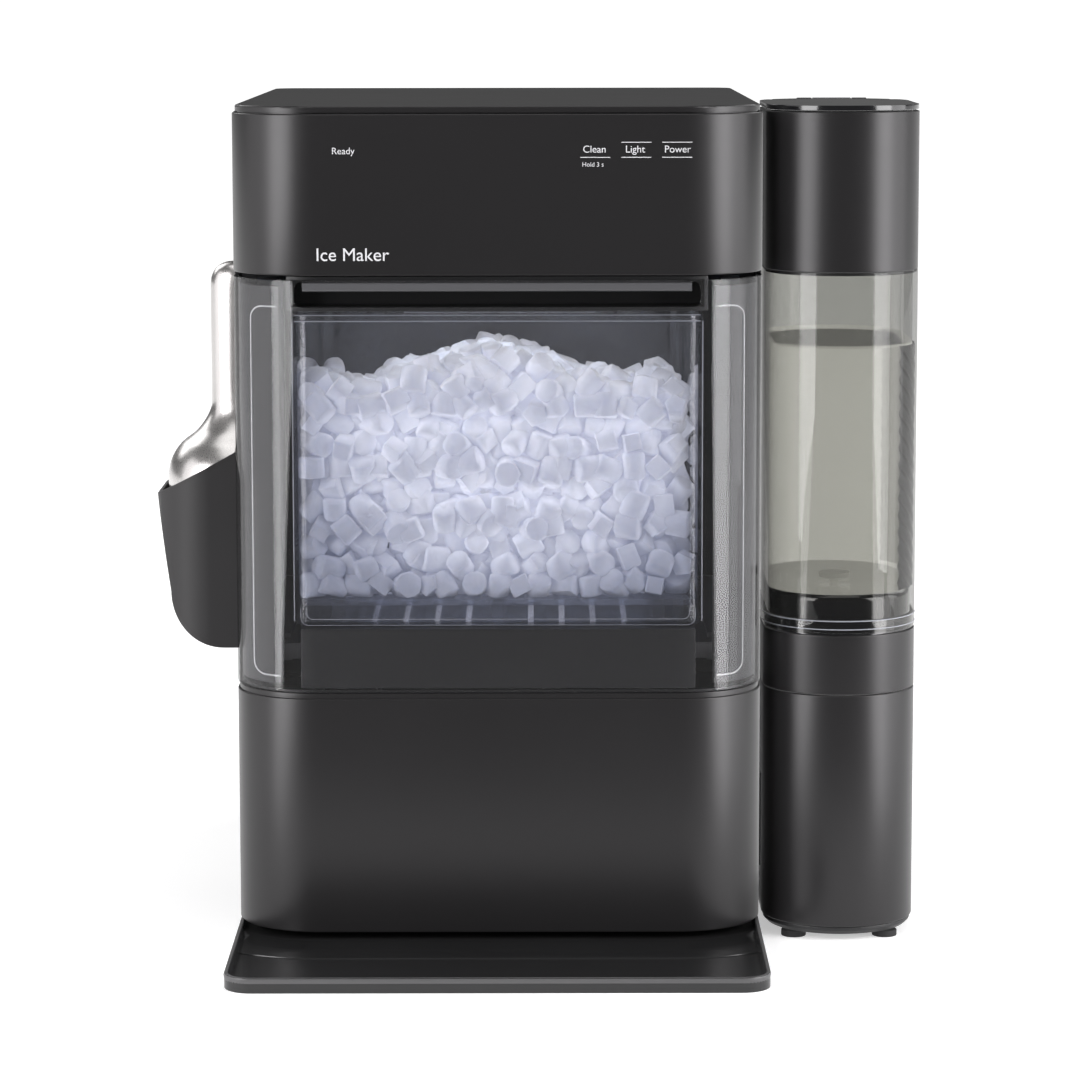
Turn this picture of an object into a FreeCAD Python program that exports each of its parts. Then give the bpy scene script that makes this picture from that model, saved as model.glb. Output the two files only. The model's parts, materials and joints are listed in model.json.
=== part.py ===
"""Countertop nugget-ice maker with a pull-out ice drawer, a side water tank on a dock,
a magnetic scoop holster and a drip tray.

Millimetres. While the pieces are built, x = 0 is the cabinet's centre plane, y = 0 its front
face with +y going back, and z = 0 the worktop. The last step moves everything so that the
origin is the centre of the footprint.
"""
import FreeCAD
import Part
import math
import os

V = FreeCAD.Vector
AXIS_X = V(1, 0, 0)
AXIS_Y = V(0, 1, 0)
AXIS_Z = V(0, 0, 1)

# ---------------------------------------------------------------- driving dimensions
# cabinet
CABINET_WIDTH = 264.0
CABINET_DEPTH = 360.0
FRONT_RADIUS = 43.0        # upright front corners
REAR_RADIUS = 14.0         # upright rear corners
SKIN = 2.2                 # cabinet panels
WRAP_DEPTH = 52.0          # how far the front panels and the drawer front wrap round the sides
SEAM = 0.6                 # joint between panels
REAR_COVER_EDGE = 20.0     # from each side to the edge of the rear cover
TOUCH_MARGIN = 3.0          # flat of the head panel left beside the touch board

# upright stack, from the worktop
PLINTH_GAP = 8.1
LOWER_PANEL_HEIGHT = 118.4
SILL_RISE = 2.7            # inner lip that rises above the lower panel
DRAWER_GAP_LOW = 3.2
DRAWER_HEIGHT = 204.6
DRAWER_GAP_TOP = 2.3
HEAD_HEIGHT = 78.7
LID_GROOVE = 0.8
LID_THICKNESS = 3.1
LID_INSET = 1.5

# feet and base
PAN_THICKNESS = 2.5
FOOT_RADIUS = 11.0
FOOT_FROM_SIDE = 32.0
FOOT_FROM_REAR = 36.0
SKIRT_FRONT = 70.0
SKIRT_INSET = 8.0

# drawer
SHELL_WALL = 3.0
SURROUND_WALL = 2.6
SURROUND_HALF = 122.0      # outer edge of the dark frame behind the shell
SURROUND_MARGIN_TOP = 13.3
SURROUND_MARGIN_LOW = 7.3
WINDOW_HALF = 104.0
BIN_WIDTH = 203.0
BIN_FRONT = 8.0
BIN_HEIGHT = 155.3
BIN_LIFT = 31.7            # bin floor above the shell's lower edge
BIN_WALL = 2.2
BIN_RADIUS = 9.0
STRAINER_LIFT = 10.5
STRAINER_THICKNESS = 3.0
CARRIAGE_WIDTH = 196.0
CARRIAGE_WALL = 3.0
RUNNER_REACH = 12.0
RUNNER_HEIGHT = 8.0
RUNNER_LIFT = 10.0         # runner above the shell's lower edge
SLIDE_PLAY = 0.6
SLOT_WIDTH = 201.0
SLOT_HEIGHT = 12.4
SLOT_MARGIN = 0.9          # shell left above the finger slot
SLOT_RADIUS = 4.0
POCKET_WALL = 2.0
POCKET_DEPTH = 24.0
HANDLE_WIDTH = 191.0
HANDLE_HEIGHT = 4.4
HANDLE_DEPTH = 12.0

# drawer bay
BAY_WALL = 2.5
BAY_WIDTH = 242.0
BAY_CLEAR_LOW = 1.5
BAY_CLEAR_TOP = 1.5
BAY_GAP_TO_JACKET = 5.0
BIN_TO_BAY_BACK = 22.0
CARRIAGE_TO_BAY_BACK = 6.0

# ice unit behind the bay
BARREL_BORE = 20.0
BARREL_WALL = 3.0
JACKET_WALL = 11.0
UNIT_FROM_REAR = 56.0      # barrel axis to the rear face
BARREL_LENGTH = 150.0
AUGER_CLEARANCE = 0.8
AUGER_CORE = 9.0
AUGER_PITCH = 24.0
SHAFT_RADIUS = 6.0
GEAR_MODULE = 1.25
GEAR_TEETH = 48
PINION_TEETH = 12
GEAR_WIDTH = 8.0
GEARBOX_WALL = 3.0
GEARBOX_CLEARANCE = 1.5
MOTOR_RADIUS = 22.0
MOTOR_HEIGHT = 50.0
CHUTE_HALF = 24.0
CHUTE_DEPTH = 40.0
CHUTE_WALL = 2.0

# cooling
COMPRESSOR_RADIUS = 44.0
COMPRESSOR_HEIGHT = 98.0
CONDENSER_LENGTH = 120.0
CONDENSER_HEIGHT = 96.0
CONDENSER_DEPTH = 26.0
CONDENSER_FINS = 24
FAN_RADIUS = 42.0
FAN_TIP_CLEARANCE = 1.5
FAN_DEPTH = 18.0
FAN_BLADES = 7

# water tank and dock, both a capsule in plan with its long axis along y
TANK_HALF_WIDTH = 38.4
TANK_LENGTH = 135.0
TANK_FRONT = 12.0
TANK_GAP = 1.7             # daylight between the cabinet and the tank
TANK_WALL = 2.4
DOCK_FOOT_HEIGHT = 3.3
DOCK_FOOT_RADIUS = 6.3
DOCK_RING_TOP = 7.2
DOCK_SHELL_HEIGHT = 117.9
DOCK_BAND_HEIGHT = 29.9
DOCK_SEAM = 0.4
SEAT_DROP = 9.0            # seat floor below the band's rim
SEAT_THICKNESS = 3.0
TANK_BASE_GAP = 0.6
FLANGE_HEIGHT = 7.0
BOSS_HEIGHT = 12.5
RESERVOIR_HEIGHT = 173.4
COLLAR_HEIGHT = 78.3
TANK_LID_GAP = 0.9
TANK_LID_THICKNESS = 2.6
PLUG_CLEARANCE = 0.7
VALVE_STEM = 2.6
VALVE_BORE = 3.4
VALVE_TRAVEL = 4.0

# tank lid hinge
HINGE_FROM_REAR = 18.0
HINGE_DROP = 1.4           # axis below the lid's top
KNUCKLE_RADIUS = 2.2
KNUCKLE_HALF = 10.0
KNUCKLE_GAP = 0.4
KNUCKLE_OUTER = 18.0
HINGE_PIN_RADIUS = 1.0
HINGE_FIT = 0.05
HINGE_RELIEF = 0.5

# drip tray
TRAY_WIDTH = 263.0
TRAY_REACH = 92.0          # in front of the cabinet
TRAY_UNDER = 60.0          # under the cabinet
TRAY_RIM = 7.4
TRAY_WALL = 2.2
TRAY_FLOOR = 1.6
TRAY_RADIUS = 14.0
TRAY_SHELF = 4.6
SHELF_TOP_OFFSET = 3.0
SHELF_FOOT_OFFSET = 14.0
STEP_OFFSET = 29.0
STEP_RISE = 0.6

# scoop holster and scoop, on the left side
HOLDER_CENTRE = 110.0      # from the front face
HOLDER_HALF = 46.0
HOLDER_REACH = 43.5
HOLDER_BOTTOM = 142.0
HOLDER_LIP = 219.5
HOLDER_BACK = 243.5
HOLDER_WALL = 2.4
HOLDER_GAP = 0.3
HOLDER_RADIUS = 30.0
HOLDER_PLAN_MARGIN = 1.5   # keeps the rounded plan clear of the lip's own edge
MAGNET_RADIUS = 8.0
MAGNET_THICKNESS = 1.6
SCOOP_WALL = 1.3
SCOOP_TIP = 158.0
SCOOP_TOP = 337.0
SCOOP_BOWL_GAP = 3.2       # bowl's open edge to the cabinet
SCOOP_HANDLE_GAP = 1.5     # handle's open edge to the cabinet

# rear fittings
SPOUT_RADIUS = 6.0
SPOUT_LENGTH = 8.0
SPOUT_SPREAD = 26.0
SPOUT_HEIGHT = 22.0
CAP_WALL = 2.0
CAP_CLEARANCE = 0.35
SCREW_RADIUS = 3.2

# ---------------------------------------------------------------- places worked out from them
HALF_W = CABINET_WIDTH / 2
PANEL_LOW = PLINTH_GAP
PANEL_TOP = PANEL_LOW + LOWER_PANEL_HEIGHT
SHELL_LOW = PANEL_TOP + DRAWER_GAP_LOW
SHELL_TOP = SHELL_LOW + DRAWER_HEIGHT
HEAD_LOW = SHELL_TOP + DRAWER_GAP_TOP
HEAD_TOP = HEAD_LOW + HEAD_HEIGHT
LID_LOW = HEAD_TOP + LID_GROOVE
LID_TOP = LID_LOW + LID_THICKNESS
PAN_LOW = PLINTH_GAP + 0.4
PAN_TOP = PAN_LOW + PAN_THICKNESS
BACK = CABINET_DEPTH

UNIT_Y = BACK - UNIT_FROM_REAR
JACKET_RADIUS = BARREL_BORE + BARREL_WALL + JACKET_WALL
BAY_FRONT = WRAP_DEPTH + 2.0
BAY_BACK = UNIT_Y - JACKET_RADIUS - BAY_GAP_TO_JACKET
BAY_HALF = BAY_WIDTH / 2
BAY_LOW = SHELL_LOW + BAY_CLEAR_LOW
BAY_TOP = SHELL_TOP - BAY_CLEAR_TOP
BIN_HALF = BIN_WIDTH / 2
BIN_LOW = SHELL_LOW + BIN_LIFT
BIN_TOP = BIN_LOW + BIN_HEIGHT
BIN_BACK = BAY_BACK - BIN_TO_BAY_BACK
CARRIAGE_HALF = CARRIAGE_WIDTH / 2
CARRIAGE_LOW = SHELL_LOW + 1.6
CARRIAGE_TOP = BIN_LOW - 0.2
CARRIAGE_BACK = BAY_BACK - CARRIAGE_TO_BAY_BACK
RUNNER_LOW = SHELL_LOW + RUNNER_LIFT

TANK_X = HALF_W + TANK_GAP + TANK_HALF_WIDTH
TANK_BACK = TANK_FRONT + TANK_LENGTH
TANK_MID = (TANK_FRONT + TANK_BACK) / 2
DOCK_SHELL_LOW = DOCK_RING_TOP + DOCK_SEAM
DOCK_SHELL_TOP = DOCK_SHELL_LOW + DOCK_SHELL_HEIGHT
BAND_LOW = DOCK_SHELL_TOP + DOCK_SEAM
BAND_TOP = BAND_LOW + DOCK_BAND_HEIGHT
SEAT_TOP = BAND_TOP - SEAT_DROP
FLANGE_LOW = BAND_TOP + TANK_BASE_GAP
FLANGE_TOP = FLANGE_LOW + FLANGE_HEIGHT
RESERVOIR_TOP = FLANGE_TOP + RESERVOIR_HEIGHT
COLLAR_LOW = RESERVOIR_TOP + 0.2
COLLAR_TOP = COLLAR_LOW + COLLAR_HEIGHT
TANK_LID_LOW = COLLAR_TOP + TANK_LID_GAP
TANK_LID_TOP = TANK_LID_LOW + TANK_LID_THICKNESS
HINGE_Y = TANK_BACK - HINGE_FROM_REAR
HINGE_Z = TANK_LID_TOP - HINGE_DROP

HOLDER_FACE = -HALF_W - HOLDER_GAP
LEFTMOST = -HALF_W - HOLDER_REACH
RIGHTMOST = TANK_X + TANK_HALF_WIDTH


# ---------------------------------------------------------------- shape helpers
def box(x0, x1, y0, y1, z0, z1):
    """A block between two corners."""
    return Part.makeBox(x1 - x0, y1 - y0, z1 - z0, V(x0, y0, z0))


def rod(radius, start, direction, length):
    """A round bar."""
    return Part.makeCylinder(radius, length, start, direction)


def fuse(first, *others):
    """One solid from several that touch."""
    return first.fuse(list(others)).removeSplitter()


def group(*solids):
    """Separate solids kept in one node."""
    return Part.makeCompound(list(solids))


def rounded_rectangle(x0, x1, y0, y1, front_radius, rear_radius, z):
    """Closed outline at height z, with its own radius at the front and rear corners."""
    edges = []
    corners = [(x1, y0, front_radius, -90), (x1, y1, rear_radius, 0),
               (x0, y1, rear_radius, 90), (x0, y0, front_radius, 180)]
    arcs = []
    for x, y, radius, angle in corners:
        centre = V(x - math.copysign(radius, x - x0 - 1e-9 if x == x1 else -1), y, z)
        centre.y = y + radius if y == y0 else y - radius
        arcs.append(Part.makeCircle(radius, centre, AXIS_Z, angle, angle + 90))
    for index, arc in enumerate(arcs):
        edges.append(arc)
        start = arc.Vertexes[-1].Point
        end = arcs[(index + 1) % 4].Vertexes[0].Point
        if start.distanceToPoint(end) > 1e-6:
            edges.append(Part.makeLine(start, end))
    return Part.Wire(edges)


def rounded_prism(x0, x1, y0, y1, front_radius, rear_radius, z0, z1):
    """Upright prism on a rounded rectangle."""
    outline = rounded_rectangle(x0, x1, y0, y1, front_radius, rear_radius, z0)
    return Part.Face(outline).extrude(V(0, 0, z1 - z0))


def cabinet_outline(inset, z):
    """The cabinet's plan, moved inwards by inset (outwards when it is negative)."""
    return rounded_rectangle(-HALF_W + inset, HALF_W - inset, inset, BACK - inset,
                             FRONT_RADIUS - inset, max(REAR_RADIUS - inset, 1.0), z)


def cabinet_prism(inset, z0, z1):
    """Upright prism on the cabinet's plan."""
    return Part.Face(cabinet_outline(inset, z0)).extrude(V(0, 0, z1 - z0))


def cabinet_ring(inset, thickness, z0, z1):
    """Wall of the given thickness that follows the cabinet's plan."""
    return cabinet_prism(inset, z0, z1).cut(cabinet_prism(inset + thickness, z0 - 1, z1 + 1))


def front_wrap(inset, thickness, z0, z1, depth=WRAP_DEPTH):
    """Front panel that wraps round both front corners."""
    keep = box(-HALF_W - 1, HALF_W + 1, -1, depth, z0, z1)
    return cabinet_ring(inset, thickness, z0, z1).common(keep)


def capsule_prism(inset, z0, z1):
    """Upright prism on the tank's plan, moved inwards by inset."""
    radius = TANK_HALF_WIDTH - inset
    return rounded_prism(TANK_X - radius, TANK_X + radius, TANK_FRONT + inset, TANK_BACK - inset,
                         radius - 0.001, radius - 0.001, z0, z1)


def capsule_ring(inset, thickness, z0, z1):
    """Wall that follows the tank's plan."""
    return capsule_prism(inset, z0, z1).cut(capsule_prism(inset + thickness, z0 - 1, z1 + 1))


def tube(points, radius, bend):
    """Round tube along straight runs joined by tangent arcs of one bend radius."""
    edges = []
    start = points[0]
    for before, corner, after in zip(points, points[1:], points[2:]):
        into = (corner - before).normalize()
        out = (after - corner).normalize()
        half_turn = into.getAngle(out) / 2
        setback = bend * math.tan(half_turn)
        arc_start = corner - into * setback
        arc_end = corner + out * setback
        middle_way = (out - into).normalize()
        centre = corner + middle_way * (bend / math.cos(half_turn))
        arc_middle = centre - middle_way * bend
        edges.append(Part.makeLine(start, arc_start))
        edges.append(Part.Arc(arc_start, arc_middle, arc_end).toShape())
        start = arc_end
    edges.append(Part.makeLine(start, points[-1]))
    path = Part.Wire(edges)
    profile = Part.Wire(Part.makeCircle(radius, points[0], points[1] - points[0]))
    return path.makePipeShell([profile], True, True)


def slots(count, pitch, first, make):
    """Several cuts, one pitch apart; make(position) gives one of them."""
    return [make(first + pitch * index) for index in range(count)]


# ---------------------------------------------------------------- cabinet
def base_pan():
    """Floor pan with a set-back skirt, behind the space where the drip tray goes."""
    plate = cabinet_prism(SKIN + 0.3, PAN_LOW, PAN_TOP)
    skirt = cabinet_ring(SKIRT_INSET, 2.0, 4.5, PAN_LOW)
    skirt = skirt.common(box(-HALF_W, HALF_W, SKIRT_FRONT, BACK, 0, PAN_LOW))
    front_rib = box(-HALF_W + SKIRT_INSET, HALF_W - SKIRT_INSET,
                    SKIRT_FRONT, SKIRT_FRONT + 2, 4.5, PAN_LOW)
    return fuse(plate, skirt, front_rib)


def foot_places():
    """Centres of the cabinet's four feet."""
    for x in (-HALF_W + FOOT_FROM_SIDE, HALF_W - FOOT_FROM_SIDE):
        for y in (SKIRT_FRONT + 24, BACK - FOOT_FROM_REAR):
            yield x, y


def cabinet_feet():
    """Four round rubber feet, each with a bevelled tread."""
    feet = []
    for x, y in foot_places():
        tread = Part.makeCone(FOOT_RADIUS - 1.2, FOOT_RADIUS, 1.2, V(x, y, 0))
        feet.append(fuse(tread, rod(FOOT_RADIUS, V(x, y, 1.2), AXIS_Z, PAN_LOW - 1.2)))
    return group(*feet)


def lower_front_panel():
    """Plain wrap panel under the drawer, with a lip that closes the gap from inside."""
    panel = front_wrap(0, SKIN, PANEL_LOW, PANEL_TOP)
    lip = front_wrap(1.0, SKIN, PANEL_TOP - 6, PANEL_TOP + SILL_RISE)
    return fuse(panel, lip)


def head_front_panel():
    """Wrap panel of the head, which carries the touch controls."""
    return front_wrap(0, SKIN, HEAD_LOW, HEAD_TOP)


def side_panel(side):
    """Side panel from the front seam round the rear corner, with a louvred intake low down."""
    ring = cabinet_ring(0, SKIN, PANEL_LOW, HEAD_TOP)
    inner, outer = HALF_W - REAR_COVER_EDGE, HALF_W + 1
    keep = box(min(side * inner, side * outer), max(side * inner, side * outer),
               WRAP_DEPTH + SEAM, BACK + 1, PANEL_LOW, HEAD_TOP)
    vents = slots(9, 10.0, PAN_TOP + 10,
                  lambda z: rounded_slot_x(side, SKIRT_FRONT + 30, SKIRT_FRONT + 140, z, 4.4))
    return ring.common(keep).cut(vents)


def rounded_slot_x(side, y0, y1, z, height):
    """Cutter for one horizontal louvre through a side panel."""
    x0, x1 = sorted((side * (HALF_W - SKIN - 2), side * (HALF_W + 2)))
    radius = height / 2
    parts = [box(x0, x1, y0 + radius, y1 - radius, z, z + height)]
    for y in (y0 + radius, y1 - radius):
        parts.append(rod(radius, V(x0, y, z + radius), AXIS_X, x1 - x0))
    return fuse(*parts)


def rear_panel():
    """Flat rear cover with an outlet grille, spout holes and the inlet hole."""
    half = HALF_W - REAR_COVER_EDGE - SEAM
    plate = box(-half, half, BACK - SKIN, BACK, PANEL_LOW + 1, HEAD_TOP)
    cuts = slots(12, 9.0, PAN_TOP + 44, lambda z: box(8, half - 14, BACK - 5, BACK + 1, z, z + 4.2))
    cuts += slots(7, 9.0, HEAD_LOW + 8,
                  lambda z: box(-half + 14, half - 14, BACK - 5, BACK + 1, z, z + 4.2))
    for x, z in spout_places():
        cuts.append(rod(SPOUT_RADIUS + 1.5, V(x, BACK - 5, z), AXIS_Y, 10))
    cuts.append(rod(INLET_RADIUS, V(*INLET_PLACE), AXIS_Y, 20))
    return plate.cut(cuts)


def top_lid():
    """Top plate with a step underneath that leaves a shadow groove."""
    plate = cabinet_prism(LID_INSET, LID_LOW, LID_TOP)
    edge = [e for e in plate.Edges if abs(e.BoundBox.ZMin - LID_TOP) < 1e-6
            and abs(e.BoundBox.ZMax - LID_TOP) < 1e-6]
    plate = plate.makeFillet(min(1.0, LID_THICKNESS / 3), edge)
    return fuse(plate, cabinet_prism(SKIN + 0.4, LID_LOW - 3.5, LID_LOW))


def head_floor():
    """Plate that closes the head over the drawer front."""
    plate = cabinet_prism(SKIN + 0.3, HEAD_LOW + 0.4, HEAD_LOW + 2.4)
    return plate.common(box(-HALF_W, HALF_W, 0, BAY_FRONT - SEAM, HEAD_LOW, HEAD_LOW + 3))


def bay_liner():
    """Box open at the front that the drawer slides into, with the ice hole in its roof."""
    outer = box(-BAY_HALF - BAY_WALL, BAY_HALF + BAY_WALL, BAY_FRONT, BAY_BACK,
                BAY_LOW - BAY_WALL, BAY_TOP + BAY_WALL)
    inner = box(-BAY_HALF, BAY_HALF, BAY_FRONT - 1, BAY_BACK - BAY_WALL, BAY_LOW, BAY_TOP)
    flange = box(-HALF_W + SKIN + 0.5, HALF_W - SKIN - 0.5, BAY_FRONT, BAY_FRONT + BAY_WALL,
                 BAY_LOW - BAY_WALL, BAY_TOP + BAY_WALL)
    hole = box(-CHUTE_HALF + CHUTE_WALL, CHUTE_HALF - CHUTE_WALL,
               BAY_BACK - BAY_WALL - CHUTE_DEPTH + CHUTE_WALL, BAY_BACK - BAY_WALL - CHUTE_WALL,
               BAY_TOP - 1, BAY_TOP + BAY_WALL + 1)
    return fuse(outer, flange).cut([inner, hole])


def drawer_rails():
    """C-channel rails on the bay's side walls."""
    rails = []
    low = RUNNER_LOW - SLIDE_PLAY
    high = RUNNER_LOW + RUNNER_HEIGHT + SLIDE_PLAY
    for side in (-1, 1):
        nose = side * (CARRIAGE_HALF + RUNNER_REACH - 4)
        wall = side * BAY_HALF
        groove = side * (CARRIAGE_HALF + RUNNER_REACH + SLIDE_PLAY)
        x0, x1 = sorted((nose, wall))
        g0, g1 = sorted((nose - side, groove))
        bar = box(x0, x1, BAY_FRONT + 3, CARRIAGE_BACK, low - 2.4, high + 2.4)
        rails.append(bar.cut(box(g0, g1, BAY_FRONT, CARRIAGE_BACK + 1, low, high)))
    return group(*rails)


def led_bar():
    """Diffused light bar under the bay's roof."""
    bar = box(-62, 62, BAY_FRONT + 12, BAY_FRONT + 22, BAY_TOP - 4.5, BAY_TOP)
    lower = [e for e in bar.Edges if e.BoundBox.ZMax < BAY_TOP - 4]
    return bar.makeFillet(1.5, lower)


def control_board():
    """Main circuit board on the bay's roof, with a relay, a transformer and capacitors."""
    z = BAY_TOP + BAY_WALL + 6
    board = box(-96, -34, BAY_FRONT + 30, BAY_FRONT + 130, z, z + 1.6)
    parts = [box(-90, -66, BAY_FRONT + 40, BAY_FRONT + 66, z + 1.6, z + 20),
             box(-60, -44, BAY_FRONT + 40, BAY_FRONT + 60, z + 1.6, z + 16)]
    for index in range(4):
        parts.append(rod(5, V(-86 + 13 * index, BAY_FRONT + 90, z + 1.6), AXIS_Z, 14))
    for x in (-92, -38):
        for y in (BAY_FRONT + 34, BAY_FRONT + 126):
            parts.append(rod(2.5, V(x, y, BAY_TOP + BAY_WALL), AXIS_Z, 6))
    return fuse(board, *parts)


def touch_board():
    """Touch and indicator board behind the head panel."""
    face = SKIN + 0.2
    half = CABINET_WIDTH / 2 - FRONT_RADIUS - TOUCH_MARGIN
    board = box(-half, half, face + 2.5, face + 4.1, HEAD_LOW + 34, HEAD_TOP - 8)
    pads = [box(half - x - 7, half - x + 7, face, face + 2.5, HEAD_TOP - 26, HEAD_TOP - 12)
            for x in (38, 18, 7)]
    lamp = box(14 - half, 24 - half, face, face + 2.5, HEAD_TOP - 24, HEAD_TOP - 14)
    return fuse(board, lamp, *pads)


# ---------------------------------------------------------------- ice unit
BARREL_TOP = HEAD_TOP - 46
BARREL_LOW = BARREL_TOP - BARREL_LENGTH
GEAR_LOW = BARREL_LOW - 24
GEAR_PITCH_RADIUS = GEAR_MODULE * GEAR_TEETH / 2
PINION_PITCH_RADIUS = GEAR_MODULE * PINION_TEETH / 2
PINION_X = -(GEAR_PITCH_RADIUS + PINION_PITCH_RADIUS)


def ice_chute():
    """Elbow duct from the top of the barrel forward and down through the bay's roof."""
    front = BAY_BACK - BAY_WALL - CHUTE_DEPTH
    turn = front + CHUTE_DEPTH
    rear = UNIT_Y - BARREL_BORE - BARREL_WALL - 2
    low = BAY_TOP + BAY_WALL
    elbow = BARREL_TOP - 28
    wall = CHUTE_WALL
    outer = fuse(box(-CHUTE_HALF, CHUTE_HALF, front, turn, low, BARREL_TOP),
                 box(-CHUTE_HALF, CHUTE_HALF, front, rear, elbow, BARREL_TOP))
    drop = box(-CHUTE_HALF + wall, CHUTE_HALF - wall, front + wall, turn - wall, low - 1,
               BARREL_TOP - wall)
    run = box(-CHUTE_HALF + wall, CHUTE_HALF - wall, front + wall, rear + 1, elbow + wall,
              BARREL_TOP - wall)
    jacket_space = rod(JACKET_RADIUS + 0.5, V(0, UNIT_Y, BARREL_LOW), AXIS_Z,
                       BARREL_LENGTH - 30 + 0.5)
    return outer.cut([drop, run, jacket_space])


def evaporator_barrel():
    """Freezing cylinder, open at both ends, with a window near the top for the ice."""
    tube_out = rod(BARREL_BORE + BARREL_WALL, V(0, UNIT_Y, BARREL_LOW), AXIS_Z, BARREL_LENGTH)
    tube_in = rod(BARREL_BORE, V(0, UNIT_Y, BARREL_LOW - 1), AXIS_Z, BARREL_LENGTH + 2)
    window = box(-12, 12, UNIT_Y - 40, UNIT_Y, BARREL_TOP - 24, BARREL_TOP - 4)
    return tube_out.cut([tube_in, window])


def evaporator_jacket():
    """Foam insulation round the freezing cylinder."""
    outer = rod(JACKET_RADIUS, V(0, UNIT_Y, BARREL_LOW + 2), AXIS_Z, BARREL_LENGTH - 34)
    inner = rod(BARREL_BORE + BARREL_WALL, V(0, UNIT_Y, BARREL_LOW), AXIS_Z, BARREL_LENGTH)
    return outer.cut(inner)


def auger():
    """Screw in the freezing cylinder, with a shaft down to its gear."""
    core = rod(AUGER_CORE, V(0, UNIT_Y, BARREL_LOW + 2), AXIS_Z, BARREL_LENGTH - 8)
    shaft = rod(SHAFT_RADIUS, V(0, UNIT_Y, GEAR_LOW + GEAR_WIDTH), AXIS_Z,
                BARREL_LOW + 2 - GEAR_LOW - GEAR_WIDTH)
    reach = BARREL_BORE - AUGER_CLEARANCE
    height = BARREL_LENGTH - 40
    helix = Part.makeHelix(AUGER_PITCH, height, AUGER_CORE)
    blade = Part.makePolygon([V(AUGER_CORE - 1, 0, 0), V(reach, 0, 1.2), V(reach, 0, 2.8),
                              V(AUGER_CORE - 1, 0, 4.0), V(AUGER_CORE - 1, 0, 0)])
    flight = helix.makePipeShell([blade], True, True)
    flight.translate(V(0, UNIT_Y, BARREL_LOW + 8))
    return fuse(core, shaft, flight)


def gear(teeth, centre, first_tooth, bore):
    """Spur gear with straight-sided teeth and some backlash; first_tooth is in degrees."""
    pitch_radius = GEAR_MODULE * teeth / 2
    tip = pitch_radius + 0.9 * GEAR_MODULE
    root = pitch_radius - 1.2 * GEAR_MODULE
    pitch = 2 * math.pi / teeth
    points = []
    for tooth in range(teeth):
        middle = math.radians(first_tooth) + tooth * pitch
        for radius, share in ((root, -0.36), (tip, -0.11), (tip, 0.11), (root, 0.36)):
            angle = middle + share * pitch
            points.append(centre + V(radius * math.cos(angle), radius * math.sin(angle), 0))
    points.append(points[0])
    disc = Part.Face(Part.makePolygon(points)).extrude(V(0, 0, GEAR_WIDTH))
    if bore:
        disc = disc.cut(rod(bore, centre - V(0, 0, 1), AXIS_Z, GEAR_WIDTH + 2))
    return disc


def drive_gear():
    """Large gear on the auger's shaft."""
    wheel = gear(GEAR_TEETH, V(0, UNIT_Y, GEAR_LOW), 0, 0)
    holes = [rod(5, V(18 * math.cos(a), UNIT_Y + 18 * math.sin(a), GEAR_LOW - 1), AXIS_Z,
                 GEAR_WIDTH + 2) for a in (math.radians(60 * k) for k in range(6))]
    return wheel.cut(holes)


def motor_pinion():
    """Small gear on the motor's shaft."""
    centre = V(PINION_X, UNIT_Y, GEAR_LOW)
    wheel = gear(PINION_TEETH, centre, 180 / PINION_TEETH, 0)
    return fuse(wheel, rod(3.0, centre - V(0, 0, 5), AXIS_Z, 5))


def gearbox():
    """Housing round the gear pair, with holes for the auger's shaft and the motor's shaft."""
    room = GEAR_PITCH_RADIUS + GEAR_MODULE + GEARBOX_CLEARANCE
    end = PINION_X - PINION_PITCH_RADIUS - GEAR_MODULE - GEARBOX_CLEARANCE
    low = GEAR_LOW - GEARBOX_CLEARANCE
    high = GEAR_LOW + GEAR_WIDTH + GEARBOX_CLEARANCE
    wall = GEARBOX_WALL
    radius = 12.0
    outer = rounded_prism(end - wall, room + wall, UNIT_Y - room - wall, UNIT_Y + room + wall,
                          radius, radius, low - wall, high + wall)
    inner = rounded_prism(end, room, UNIT_Y - room, UNIT_Y + room,
                          radius - wall, radius - wall, low, high)
    shaft = rod(SHAFT_RADIUS + 0.5, V(0, UNIT_Y, high - 1), AXIS_Z, wall + 2)
    motor_shaft = rod(3.5, V(PINION_X, UNIT_Y, low - wall - 1), AXIS_Z, wall + 2)
    return outer.cut([inner, shaft, motor_shaft])


def gear_motor():
    """Motor can hung under the gearbox."""
    top = GEAR_LOW - GEARBOX_CLEARANCE - GEARBOX_WALL
    can = rod(MOTOR_RADIUS, V(PINION_X, UNIT_Y, top - MOTOR_HEIGHT), AXIS_Z, MOTOR_HEIGHT)
    rims = [e for e in can.Edges if e.Curve.TypeId == "Part::GeomCircle"]
    can = can.makeFillet(2.0, rims)
    shaft_room = rod(3.5, V(PINION_X, UNIT_Y, top - 6), AXIS_Z, 7)
    return can.cut(shaft_room)


# ---------------------------------------------------------------- cooling and water
COMPRESSOR_X = HALF_W - SKIN - COMPRESSOR_RADIUS - 20
COMPRESSOR_Y = BACK - COMPRESSOR_RADIUS - 22
CONDENSER_X = -HALF_W + SKIN + 6
CONDENSER_Y = SKIRT_FRONT + 26
FAN_X = CONDENSER_X + CONDENSER_DEPTH + 8
FAN_Y = CONDENSER_Y + CONDENSER_LENGTH / 2
FAN_Z = PAN_TOP + 4 + CONDENSER_HEIGHT / 2


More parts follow.
